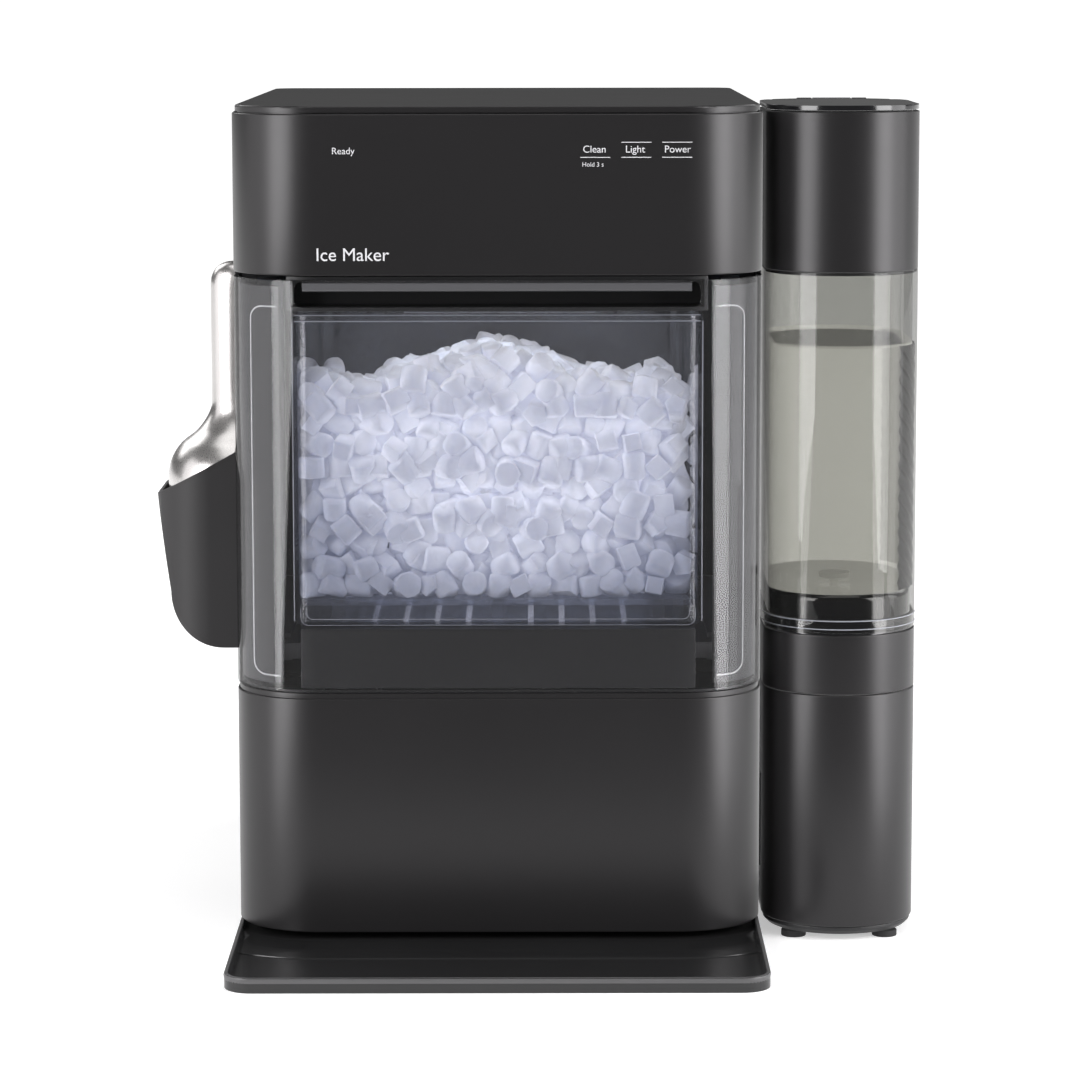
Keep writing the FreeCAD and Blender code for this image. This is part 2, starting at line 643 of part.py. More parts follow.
def compressor():
    """Welded compressor can with a foot plate."""
    low = PAN_TOP + 8
    can = rod(COMPRESSOR_RADIUS, V(COMPRESSOR_X, COMPRESSOR_Y, low + 2), AXIS_Z,
              COMPRESSOR_HEIGHT - 10)
    rims = [e for e in can.Edges if e.Curve.TypeId == "Part::GeomCircle"]
    can = can.makeFillet(16.0, rims)
    reach = COMPRESSOR_RADIUS - 2
    plate = rounded_prism(COMPRESSOR_X - reach, COMPRESSOR_X + reach, COMPRESSOR_Y - reach,
                          COMPRESSOR_Y + reach, 10, 10, low, low + 3)
    return fuse(can, plate)


def compressor_mounts():
    """Four rubber grommets under the compressor's foot plate."""
    reach = COMPRESSOR_RADIUS - 12
    return group(*[rod(7, V(COMPRESSOR_X + sx * reach, COMPRESSOR_Y + sy * reach, PAN_TOP),
                       AXIS_Z, 8) for sx in (-1, 1) for sy in (-1, 1)])


def condenser():
    """Fin block on through tubes, between end plates."""
    low = PAN_TOP + 4
    plates = []
    pitch = CONDENSER_LENGTH / (CONDENSER_FINS - 1)
    for index in range(CONDENSER_FINS):
        y = CONDENSER_Y + pitch * index
        plates.append(box(CONDENSER_X, CONDENSER_X + CONDENSER_DEPTH, y, y + 1.0, low,
                          low + CONDENSER_HEIGHT))
    tubes = [rod(4, V(CONDENSER_X + CONDENSER_DEPTH / 2, CONDENSER_Y - 4,
                      low + CONDENSER_HEIGHT * (k + 0.5) / 4), AXIS_Y, CONDENSER_LENGTH + 9)
             for k in range(4)]
    feet = [box(CONDENSER_X, CONDENSER_X + CONDENSER_DEPTH, y, y + 1.0, PAN_TOP, low + 4)
            for y in (CONDENSER_Y, CONDENSER_Y + CONDENSER_LENGTH)]
    return fuse(tubes[0], *tubes[1:], *plates, *feet)


def fan_shroud():
    """Square duct plate with a round throat, and the fan motor on three struts."""
    reach = FAN_RADIUS + 5
    plate = box(FAN_X, FAN_X + FAN_DEPTH + 6, FAN_Y - reach, FAN_Y + reach,
                PAN_TOP, FAN_Z + reach)
    throat = rod(FAN_RADIUS + FAN_TIP_CLEARANCE, V(FAN_X - 1, FAN_Y, FAN_Z), AXIS_X,
                 FAN_DEPTH + 8)
    motor = rod(15, V(FAN_X + FAN_DEPTH + 8, FAN_Y, FAN_Z), AXIS_X, 20)
    struts = []
    for k in range(3):
        strut = box(FAN_X + FAN_DEPTH + 6, FAN_X + FAN_DEPTH + 10, FAN_Y - 2.5, FAN_Y + 2.5,
                    FAN_Z, FAN_Z + reach)
        strut.rotate(V(FAN_X, FAN_Y, FAN_Z), AXIS_X, 120 * k + 60)
        struts.append(strut)
    frame = plate.cut(throat)
    return fuse(frame, motor, *struts)


def fan_rotor():
    """Hub with pitched blades."""
    start = V(FAN_X + 2, FAN_Y, FAN_Z)
    hub = rod(13, start, AXIS_X, FAN_DEPTH)
    blades = []
    for k in range(FAN_BLADES):
        blade = box(FAN_X + 1, FAN_X + FAN_DEPTH + 3, FAN_Y - 1.0, FAN_Y + 1.0,
                    FAN_Z + 8, FAN_Z + FAN_RADIUS)
        blade.rotate(V(FAN_X + 2 + FAN_DEPTH / 2, FAN_Y, FAN_Z), AXIS_Z, 38)
        blade.rotate(V(FAN_X, FAN_Y, FAN_Z), AXIS_X, 360 * k / FAN_BLADES)
        blades.append(blade)
    sweep = rod(FAN_RADIUS, start, AXIS_X, FAN_DEPTH)
    return fuse(hub, *[blade.common(sweep) for blade in blades])


def inner_reservoir():
    """Open float tank low in the cabinet that the dock feeds."""
    x0, x1 = 34, HALF_W - SKIN - 6
    y0, y1 = SKIRT_FRONT - 2, SKIRT_FRONT + 96
    outer = rounded_prism(x0, x1, y0, y1, 8, 8, PAN_TOP, PAN_TOP + 88)
    inner = rounded_prism(x0 + 2.5, x1 - 2.5, y0 + 2.5, y1 - 2.5, 5.5, 5.5, PAN_TOP + 2.5,
                          PAN_TOP + 90)
    return outer.cut(inner)


def water_pump():
    """Pump beside the inner tank."""
    y = SKIRT_FRONT + 40
    body = rod(18, V(8, y, PAN_TOP), AXIS_Z, 34)
    head = rod(12, V(8, y, PAN_TOP + 34), AXIS_Z, 12)
    inlet = rod(4, V(20, y, PAN_TOP + 14), AXIS_X, 14)
    return fuse(body, head, inlet)


def refrigerant_lines():
    """Copper lines from the compressor to the condenser, and from the jacket back to it."""
    can_top = PAN_TOP + COMPRESSOR_HEIGHT
    tube_x = CONDENSER_X + CONDENSER_DEPTH / 2
    tube_end = CONDENSER_Y + CONDENSER_LENGTH + 5
    tube_z = PAN_TOP + 4 + CONDENSER_HEIGHT * 7 / 8
    out = V(COMPRESSOR_X - 16, COMPRESSOR_Y, can_top)
    hot = tube([out, out + V(0, 0, 20), V(tube_x, COMPRESSOR_Y, can_top + 20),
                V(tube_x, COMPRESSOR_Y, tube_z), V(tube_x, tube_end, tube_z)], 3.0, 8.0)
    back = V(COMPRESSOR_X + 16, COMPRESSOR_Y, can_top)
    rise_x = JACKET_RADIUS + 16
    cold = tube([back, back + V(0, 0, 40), V(rise_x, UNIT_Y, BARREL_LOW - 30),
                 V(rise_x, UNIT_Y, BARREL_LOW + 60), V(JACKET_RADIUS - 1, UNIT_Y, BARREL_LOW + 60)],
                4.0, 9.0)
    return group(hot, cold)


# ---------------------------------------------------------------- rear fittings
INLET_RADIUS = 9.0
INLET_PLACE = (-HALF_W + REAR_COVER_EDGE + 24, BACK - 12, PAN_TOP + 24)


def spout_places():
    """Centres of the two drain spouts on the rear cover."""
    for side in (-1, 1):
        yield -30 + side * SPOUT_SPREAD / 2, SPOUT_HEIGHT


def drain_spouts():
    """Two hose spouts with a backing flange inside the rear cover."""
    spouts = []
    for x, z in spout_places():
        pipe = rod(SPOUT_RADIUS, V(x, BACK - SKIN - 8, z), AXIS_Y, SKIN + 8 + SPOUT_LENGTH)
        flange = rod(SPOUT_RADIUS + 4, V(x, BACK - SKIN - 3, z), AXIS_Y, 3)
        bore = rod(SPOUT_RADIUS - 1.8, V(x, BACK - SKIN - 9, z), AXIS_Y, SKIN + 10 + SPOUT_LENGTH)
        spouts.append(fuse(pipe, flange).cut(bore))
    return group(*spouts)


def drain_cap(index):
    """Soft cap pushed over one spout, with a pull tab."""
    x, z = list(spout_places())[index]
    bore = SPOUT_RADIUS + CAP_CLEARANCE
    start = BACK + 1.0
    end = BACK + SPOUT_LENGTH + CAP_CLEARANCE
    skin = rod(bore + CAP_WALL, V(x, start, z), AXIS_Y, end + CAP_WALL - start)
    hollow = rod(bore, V(x, start - 1, z), AXIS_Y, end - start + 1)
    tab = box(x - 2, x + 2, start + 3, end + CAP_WALL, z + bore, z + bore + CAP_WALL + 4)
    return fuse(skin.cut(hollow), tab.cut(hollow))


def power_inlet():
    """Moulded gland where the supply lead enters."""
    x, _, z = INLET_PLACE
    barrel = rod(INLET_RADIUS - 0.1, V(x, BACK - SKIN - 4, z), AXIS_Y, SKIN + 7)
    flange = rod(INLET_RADIUS + 3, V(x, BACK, z), AXIS_Y, 2)
    bore = rod(4.2, V(x, BACK - SKIN - 5, z), AXIS_Y, SKIN + 10)
    return fuse(barrel, flange).cut(bore)


def cabinet_screws():
    """Cross-head screws round the edge of the rear cover."""
    half = HALF_W - REAR_COVER_EDGE - 7
    screws = []
    for x in (-half, 0, half):
        for z in (PANEL_LOW + 8, HEAD_TOP - 7):
            head = Part.makeCone(SCREW_RADIUS, SCREW_RADIUS - 1.2, 1.4, V(x, BACK, z), AXIS_Y)
            cross = [box(x - 2, x + 2, BACK + 0.5, BACK + 3, z - 0.4, z + 0.4),
                     box(x - 0.4, x + 0.4, BACK + 0.5, BACK + 3, z - 2, z + 2)]
            screws.append(head.cut(cross))
    return group(*screws)


# ---------------------------------------------------------------- drawer
def drawer_shell():
    """Smoke-tinted front that wraps both corners, with the finger slot near its top."""
    shell = front_wrap(0, SHELL_WALL, SHELL_LOW, SHELL_TOP)
    half = SLOT_WIDTH / 2
    top = SHELL_TOP - SLOT_MARGIN
    outline = rounded_prism(-half, half, 0, SLOT_HEIGHT, SLOT_RADIUS, SLOT_RADIUS, 0,
                            FRONT_RADIUS)
    outline.rotate(V(0, 0, 0), AXIS_X, 90)
    outline.translate(V(0, FRONT_RADIUS - 10, top - SLOT_HEIGHT))
    return shell.cut(outline)


def drawer_surround():
    """Dark frame against the shell's inside, open where the bin shows."""
    low = SHELL_LOW + SURROUND_MARGIN_LOW
    high = SHELL_TOP - SURROUND_MARGIN_TOP
    frame = front_wrap(SHELL_WALL, SURROUND_WALL, low, high)
    frame = frame.common(rounded_prism(-SURROUND_HALF, SURROUND_HALF, -1, WRAP_DEPTH, 0.5, 0.5,
                                       low, high))
    window = box(-WINDOW_HALF, WINDOW_HALF, 0, WRAP_DEPTH, low - 1, high + 1)
    return frame.cut(window)


def handle_pocket():
    """Recess behind the finger slot, open at the front."""
    half = SLOT_WIDTH / 2 + POCKET_WALL + 1
    low = SHELL_TOP - SLOT_MARGIN - SLOT_HEIGHT - POCKET_WALL
    high = HEAD_LOW - 0.4
    outer = box(-half, half, 0, POCKET_DEPTH, low, high)
    outer = outer.common(cabinet_prism(SHELL_WALL, low, high))
    inner = box(-half + POCKET_WALL, half - POCKET_WALL, -1, POCKET_DEPTH - POCKET_WALL,
                low + POCKET_WALL, high - POCKET_WALL)
    return outer.cut(inner)


def drawer_handle():
    """Grip bar across the top of the finger slot, hung from the pocket's roof by a web."""
    half = HANDLE_WIDTH / 2
    high = SHELL_TOP - SLOT_MARGIN - 0.2
    bar = box(-half, half, 0.6, HANDLE_DEPTH, high - HANDLE_HEIGHT, high)
    edges = [e for e in bar.Edges if e.BoundBox.XLength > 1]
    bar = bar.makeFillet(HANDLE_HEIGHT * 0.3, edges)
    web = box(-half + 4, half - 4, SHELL_WALL + 3, SHELL_WALL + 6, high - 1,
              HEAD_LOW - 0.4 - POCKET_WALL)
    return fuse(bar, web)


def ice_bin():
    """Clear open-topped bin with a rolled rim and a raised tab in the middle of its front."""
    outer = rounded_prism(-BIN_HALF, BIN_HALF, BIN_FRONT, BIN_BACK, BIN_RADIUS, BIN_RADIUS,
                          BIN_LOW, BIN_TOP)
    inner = rounded_prism(-BIN_HALF + BIN_WALL, BIN_HALF - BIN_WALL, BIN_FRONT + BIN_WALL,
                          BIN_BACK - BIN_WALL, BIN_RADIUS - BIN_WALL, BIN_RADIUS - BIN_WALL,
                          BIN_LOW + BIN_WALL, BIN_TOP + 1)
    lower = [e for e in outer.Edges if abs(e.BoundBox.ZMax - BIN_LOW) < 1e-6]
    outer = outer.makeFillet(4.0, lower)
    tab = box(-46, 48, BIN_FRONT, BIN_FRONT + BIN_WALL, BIN_TOP, BIN_TOP + 1.5)
    return fuse(outer.cut(inner), tab)


def bin_strainer():
    """Slotted false floor that keeps the ice out of its melt water."""
    gap = 0.5
    low = BIN_LOW + STRAINER_LIFT
    inset = BIN_WALL + gap
    plate = rounded_prism(-BIN_HALF + inset, BIN_HALF - inset, BIN_FRONT + inset,
                          BIN_BACK - inset, BIN_RADIUS - inset, BIN_RADIUS - inset,
                          low, low + STRAINER_THICKNESS)
    length = BIN_BACK - BIN_FRONT
    cuts = [box(x - 1.5, x + 1.5, BIN_FRONT + 0.15 * length, BIN_BACK - 0.15 * length,
                low - 1, low + STRAINER_THICKNESS + 1)
            for x in range(-80, 81, 16)]
    feet = [box(sx * 80 - 3, sx * 80 + 3, BIN_FRONT + 12, BIN_BACK - 12, BIN_LOW + BIN_WALL, low)
            for sx in (-1, 0, 1)]
    return fuse(plate.cut(cuts), *[foot for foot in feet])


def drawer_carriage():
    """Tray under the bin, which carries the shell and the runners."""
    block = box(-CARRIAGE_HALF, CARRIAGE_HALF, 0, CARRIAGE_BACK, CARRIAGE_LOW, CARRIAGE_TOP)
    block = block.common(cabinet_prism(SHELL_WALL, CARRIAGE_LOW, CARRIAGE_TOP))
    front = BIN_FRONT + CARRIAGE_WALL
    hollow = box(-CARRIAGE_HALF + CARRIAGE_WALL, CARRIAGE_HALF - CARRIAGE_WALL, front,
                 CARRIAGE_BACK - CARRIAGE_WALL, CARRIAGE_LOW + CARRIAGE_WALL, CARRIAGE_TOP + 1)
    return block.cut(hollow)


def drawer_runners():
    """Two runners that slide in the bay's rails."""
    bars = []
    for side in (-1, 1):
        x0, x1 = sorted((side * CARRIAGE_HALF, side * (CARRIAGE_HALF + RUNNER_REACH)))
        bars.append(box(x0, x1, BAY_FRONT - 10, CARRIAGE_BACK, RUNNER_LOW,
                        RUNNER_LOW + RUNNER_HEIGHT))
    return group(*bars)


# ---------------------------------------------------------------- drip tray
def drip_tray():
    """Shallow tray with a shelf that slopes up to the cabinet and runs on under it."""
    half = TRAY_WIDTH / 2
    outer = rounded_prism(-half, half, -TRAY_REACH, TRAY_UNDER, TRAY_RADIUS, 3.0, 0, TRAY_RIM)
    inner = rounded_prism(-half + TRAY_WALL, half - TRAY_WALL, -TRAY_REACH + TRAY_WALL,
                          TRAY_UNDER - TRAY_WALL, TRAY_RADIUS - TRAY_WALL, 1.0,
                          TRAY_FLOOR, TRAY_RIM + 1)
    foot = cabinet_outline(-SHELF_FOOT_OFFSET, TRAY_FLOOR)
    crest = cabinet_outline(-SHELF_TOP_OFFSET, TRAY_SHELF)
    shelf = Part.makeLoft([foot, crest], True, True)
    step = cabinet_prism(-STEP_OFFSET, TRAY_FLOOR, TRAY_FLOOR + STEP_RISE)
    return fuse(outer.cut(inner), fuse(shelf, step).common(inner))


# ---------------------------------------------------------------- dock and tank
def dock_feet():
    """Four small rubber feet under the dock."""
    return group(*[rod(DOCK_FOOT_RADIUS, V(TANK_X + 23 * sx, y, 0), AXIS_Z, DOCK_FOOT_HEIGHT)
                   for sx in (-1, 1) for y in (TANK_FRONT + 16, TANK_BACK - 16)])


def dock_base_ring():
    """Base plate whose edge tapers in towards the worktop."""
    low, high = DOCK_FOOT_HEIGHT, DOCK_RING_TOP
    plate = capsule_prism(1.0, low, high)
    rim = [e for e in plate.Edges if abs(e.BoundBox.ZMax - low) < 1e-6]
    return plate.makeChamfer(2.2, rim)


def dock_shell():
    """Lower shell of the dock, closed at its top by a deck."""
    walls = capsule_ring(0, TANK_WALL, DOCK_SHELL_LOW, DOCK_SHELL_TOP)
    deck = capsule_prism(TANK_WALL, DOCK_SHELL_TOP - 3, DOCK_SHELL_TOP)
    return fuse(walls, deck)


def dock_band():
    """Upper band of the dock that the tank drops into."""
    return capsule_ring(0, TANK_WALL, BAND_LOW, BAND_TOP)


def dock_seat():
    """Floor of the dock's recess, with the water spigot and the pin that opens the valve."""
    inset = TANK_WALL
    plate = capsule_prism(inset, SEAT_TOP - SEAT_THICKNESS, SEAT_TOP)
    spigot = rod(6, V(TANK_X, TANK_MID, BAND_LOW), AXIS_Z, SEAT_TOP - SEAT_THICKNESS - BAND_LOW)
    pin = rod(1.6, V(TANK_X, TANK_MID, SEAT_TOP), AXIS_Z, 1.4)
    guides = [rod(2.5, V(TANK_X, y, SEAT_TOP), AXIS_Z, 5.0)
              for y in (TANK_MID - 34, TANK_MID + 34)]
    return fuse(plate, spigot, pin, *guides)


def dock_bridge():
    """Coupling block between the cabinet's side and the dock."""
    return box(HALF_W, HALF_W + TANK_GAP, TANK_MID - 24, TANK_MID + 24, 30, 78)


def tank_base():
    """Foot of the tank: a plug that drops into the dock, a flange and a raised floor."""
    plug = capsule_prism(TANK_WALL + PLUG_CLEARANCE, SEAT_TOP + 0.6, FLANGE_LOW)
    flange = capsule_prism(0.5, FLANGE_LOW, FLANGE_TOP)
    boss = capsule_prism(TANK_WALL + 0.1, FLANGE_TOP, FLANGE_TOP + BOSS_HEIGHT)
    rim = [e for e in boss.Edges if abs(e.BoundBox.ZMin - FLANGE_TOP - BOSS_HEIGHT) < 1e-6]
    boss = boss.makeFillet(3.0, rim)
    bore = rod(VALVE_BORE, V(TANK_X, TANK_MID, SEAT_TOP), AXIS_Z, 60)
    guides = [rod(3.2, V(TANK_X, y, SEAT_TOP), AXIS_Z, 7.0)
              for y in (TANK_MID - 34, TANK_MID + 34)]
    return fuse(plug, flange, boss).cut([bore] + guides)


def tank_reservoir():
    """Clear wall of the tank."""
    return capsule_ring(0.1, TANK_WALL - 0.1, FLANGE_TOP, RESERVOIR_TOP)


def tank_collar():
    """Tall collar above the reservoir, open on top, with a hinge block at the rear."""
    walls = capsule_ring(0, TANK_WALL + 0.6, COLLAR_LOW, COLLAR_TOP)
    block = capsule_prism(0, COLLAR_TOP - 6, TANK_LID_TOP)
    block = block.common(box(TANK_X - 60, TANK_X + 60, HINGE_Y + KNUCKLE_RADIUS + HINGE_RELIEF,
                             TANK_BACK + 1, COLLAR_TOP - 6, TANK_LID_TOP))
    knuckles = []
    for side in (-1, 1):
        x0, x1 = sorted((TANK_X + side * (KNUCKLE_HALF + KNUCKLE_GAP),
                         TANK_X + side * KNUCKLE_OUTER))
        knuckles.append(rod(KNUCKLE_RADIUS, V(x0, HINGE_Y, HINGE_Z), AXIS_X, x1 - x0))
        knuckles.append(box(x0, x1, HINGE_Y, HINGE_Y + KNUCKLE_RADIUS + 1, HINGE_Z - 1.4,
                            TANK_LID_TOP - 0.3))
    bore = rod(HINGE_PIN_RADIUS, V(TANK_X - 30, HINGE_Y, HINGE_Z), AXIS_X, 60)
    return fuse(walls, block, *knuckles).cut(bore)


def hinge_pin():
    """Steel pin through the lid's hinge."""
    return rod(HINGE_PIN_RADIUS, V(TANK_X - KNUCKLE_OUTER, HINGE_Y, HINGE_Z), AXIS_X,
               2 * KNUCKLE_OUTER)


def tank_lid():
    """Flip-up lid with its knuckle on the pin."""
    edge_y = HINGE_Y - KNUCKLE_RADIUS - HINGE_RELIEF
    plate = capsule_prism(0.2, TANK_LID_LOW, TANK_LID_TOP)
    plate = plate.common(box(TANK_X - 60, TANK_X + 60, TANK_FRONT - 1, edge_y,
                             TANK_LID_LOW, TANK_LID_TOP))
    knuckle = rod(KNUCKLE_RADIUS, V(TANK_X - KNUCKLE_HALF, HINGE_Y, HINGE_Z), AXIS_X,
                  2 * KNUCKLE_HALF)
    web = box(TANK_X - KNUCKLE_HALF, TANK_X + KNUCKLE_HALF, edge_y - 1, HINGE_Y,
              HINGE_Z - 1.2, TANK_LID_TOP - 0.3)
    bore = rod(HINGE_PIN_RADIUS + HINGE_FIT, V(TANK_X - 30, HINGE_Y, HINGE_Z), AXIS_X, 60)
    return fuse(plate, knuckle, web).cut(bore)


def lid_seal():
    """Rubber ring under the lid that drops into the collar's mouth."""
    inset = TANK_WALL + 0.6 + 0.8
    ring = capsule_ring(inset, 4.0, COLLAR_TOP - 2.5, TANK_LID_LOW)
    return ring.common(box(TANK_X - 60, TANK_X + 60, TANK_FRONT, HINGE_Y - 12,
                           COLLAR_TOP - 3, TANK_LID_LOW))


def tank_valve():
    """Sprung poppet in the tank's floor."""
    floor = FLANGE_TOP + BOSS_HEIGHT
    low = SEAT_TOP + 1.8
    stem = rod(VALVE_STEM, V(TANK_X, TANK_MID, low), AXIS_Z, floor + 0.4 - low)
    head = rod(8.0, V(TANK_X, TANK_MID, floor + 0.4), AXIS_Z, 2.4)
    return fuse(stem, head)


# ---------------------------------------------------------------- scoop and holster
def holder_section(offset):
    """Holster's side profile in x and z, moved inwards by offset, as a closed wire."""
    out = LEFTMOST + offset
    wall = HOLDER_FACE - offset
    low = HOLDER_BOTTOM + offset
    lip = V(out, 0, HOLDER_LIP)
    hip = V(out + 7.3, 0, low + 28)
    heel = V(out + 35.5, 0, low)
    flare = Part.Arc(lip, V(out + 3.4, 0, (HOLDER_LIP + low + 28) / 2), hip).toShape()
    bend = Part.Arc(hip, V(out + 15.4, 0, low + 8.2), heel).toShape()
    foot = V(wall, 0, low)
    back = V(wall, 0, HOLDER_BACK + offset)
    rise = V(out, 0, HOLDER_LIP + 2 * offset)
    edges = [flare, bend, Part.makeLine(heel, foot), Part.makeLine(foot, back)]
    if offset:
        edges += [Part.makeLine(back, rise), Part.makeLine(rise, lip)]
    else:
        edges.append(Part.makeLine(back, lip))
    return Part.Wire(edges)


def holder_block(offset):
    """Solid that fills the holster, moved inwards by offset."""
    half = HOLDER_HALF - offset
    body = Part.Face(holder_section(offset)).extrude(V(0, 2 * half, 0))
    body.translate(V(0, HOLDER_CENTRE - half, 0))
    radius = HOLDER_RADIUS - offset
    plan = rounded_prism(-half, half, 0, HOLDER_REACH + 20, radius, 1.0,
                         HOLDER_BOTTOM - 10, HOLDER_BACK + 30)
    plan.rotate(V(0, 0, 0), AXIS_Z, -90)
    plan.translate(V(LEFTMOST + offset - HOLDER_PLAN_MARGIN, HOLDER_CENTRE, 0))
    return body.common(plan)


def scoop_holder():
    """Holster that hangs on the cabinet's left side by its magnets."""
    shell = holder_block(0).cut(holder_block(HOLDER_WALL))
    pockets = [rod(MAGNET_RADIUS, V(HOLDER_FACE - MAGNET_THICKNESS, y, z), AXIS_X,
                   MAGNET_THICKNESS + 1) for y, z in magnet_places()]
    return shell.cut(pockets)


def magnet_places():
    """Centres of the magnets in the holster's back."""
    for y in (HOLDER_CENTRE - 24, HOLDER_CENTRE + 24):
        for z in (HOLDER_BOTTOM + 22, HOLDER_BACK - 20):
            yield y, z


def holder_magnets():
    """Magnet discs, flush with the holster's back."""
    return group(*[rod(MAGNET_RADIUS, V(HOLDER_FACE - MAGNET_THICKNESS, y, z), AXIS_X,
                       MAGNET_THICKNESS) for y, z in magnet_places()])


def scoop_sections():
    """Height, half-width, depth and gap to the cabinet, from the lip up to the handle's end."""
    bowl, handle = SCOOP_BOWL_GAP, SCOOP_HANDLE_GAP
    yield SCOOP_TIP, 26.0, 15.0, bowl
    yield SCOOP_TIP + 10, 32.0, 23.0, bowl
    yield SCOOP_TIP + 27, 36.5, 31.0, bowl
    yield SCOOP_TIP + 60, 38.0, 36.3, bowl
    yield SCOOP_TIP + 74, 35.5, 35.5, bowl
    yield SCOOP_TIP + 84, 28.5, 29.0, bowl
    yield SCOOP_TIP + 92, 20.5, 20.5, bowl - 0.5
    yield SCOOP_TIP + 102, 14.0, 16.0, handle
    yield SCOOP_TIP + 112, 12.5, 15.6, handle
    yield SCOOP_TOP - 16, 12.5, 15.6, handle
    yield SCOOP_TOP - 8, 11.6, 14.0, handle
    yield SCOOP_TOP - 3, 9.0, 10.0, handle
    yield SCOOP_TOP, 5.0, 5.0, handle


def scoop_solid(offset):
    """Half-round loft with its flat side to the cabinet, moved inwards by offset.

    With an offset, the flat side stands proud and the ends move, so that it cuts the shell
    open at the flat side and at the lip, and leaves the handle's end closed.
    """
    wires = []
    sections = list(scoop_sections())
    for index, (z, half_width, depth, gap) in enumerate(sections):
        edge = -HALF_W - gap
        flat = edge + 6 if offset else edge
        half_width -= offset
        depth -= offset
        if offset and index == 0:
            z -= 3
        if offset and index == len(sections) - 1:
            z -= offset
        outline = [V(flat, half_width, z)]
        for along, out in ((1.0, 0.2), (0.92, 0.5), (0.72, 0.76), (0.4, 0.94), (0.0, 1.0)):
            outline.append(V(edge - depth * out, half_width * along, z))
        outline += [V(point.x, -point.y, z) for point in outline[-2::-1]]
        outline.append(outline[0])
        wires.append(Part.makePolygon([point + V(0, HOLDER_CENTRE, 0) for point in outline]))
    return Part.makeLoft(wires, True, True)


def scoop():
    """Pressed steel scoop: a half-round shell, open towards the cabinet and at its lip."""
    return scoop_solid(0).cut(scoop_solid(SCOOP_WALL))


# ---------------------------------------------------------------- build and export
NODES = {
    "base_pan": base_pan(),
    "cabinet_feet": cabinet_feet(),
    "lower_front_panel": lower_front_panel(),
    "head_front_panel": head_front_panel(),
    "side_panel_left": side_panel(-1),
    "side_panel_right": side_panel(1),
    "rear_panel": rear_panel(),
    "top_lid": top_lid(),
    "head_floor": head_floor(),
    "bay_liner": bay_liner(),
    "drawer_rails": drawer_rails(),
    "led_bar": led_bar(),
    "control_board": control_board(),
    "touch_board": touch_board(),
    "ice_chute": ice_chute(),
    "evaporator_barrel": evaporator_barrel(),
    "evaporator_jacket": evaporator_jacket(),
    "auger": auger(),
    "drive_gear": drive_gear(),
    "motor_pinion": motor_pinion(),
    "gearbox": gearbox(),
    "gear_motor": gear_motor(),
    "compressor": compressor(),
    "compressor_mounts": compressor_mounts(),
    "condenser": condenser(),
    "fan_shroud": fan_shroud(),
    "fan_rotor": fan_rotor(),
    "inner_reservoir": inner_reservoir(),
    "water_pump": water_pump(),
    "refrigerant_lines": refrigerant_lines(),
    "drain_spouts": drain_spouts(),
    "drain_cap_left": drain_cap(0),
    "drain_cap_right": drain_cap(1),
    "power_inlet": power_inlet(),
    "cabinet_screws": cabinet_screws(),
    "drawer_shell": drawer_shell(),
    "drawer_surround": drawer_surround(),
    "handle_pocket": handle_pocket(),
    "drawer_handle": drawer_handle(),
    "ice_bin": ice_bin(),
    "bin_strainer": bin_strainer(),
    "drawer_carriage": drawer_carriage(),
    "drawer_runners": drawer_runners(),
    "drip_tray": drip_tray(),
    "dock_feet": dock_feet(),
    "dock_base_ring": dock_base_ring(),
    "dock_shell": dock_shell(),
    "dock_band": dock_band(),
    "dock_seat": dock_seat(),
    "dock_bridge": dock_bridge(),
    "tank_base": tank_base(),
    "tank_reservoir": tank_reservoir(),
    "tank_collar": tank_collar(),
    "hinge_pin": hinge_pin(),
    "tank_lid": tank_lid(),
    "lid_seal": lid_seal(),
    "tank_valve": tank_valve(),
    "scoop_holder": scoop_holder(),
    "holder_magnets": holder_magnets(),
    "scoop": scoop(),
}

REARMOST = BACK + SPOUT_LENGTH + CAP_CLEARANCE + CAP_WALL
TO_ORIGIN = V(-(LEFTMOST + RIGHTMOST) / 2, -(REARMOST - TRAY_REACH) / 2, 0)

os.makedirs("parts", exist_ok=True)
for name, shape in NODES.items():
    shape.translate(TO_ORIGIN)
    shape.exportStep("parts/" + name + ".step")
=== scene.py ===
"""Looks of a countertop nugget-ice maker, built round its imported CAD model.

Metres, z up, the drawer's front towards -y. Places come from the CAD nodes' own boxes.
"""
import json
import math
import bmesh
import bpy
import numpy as np
from mathutils import Matrix, Vector

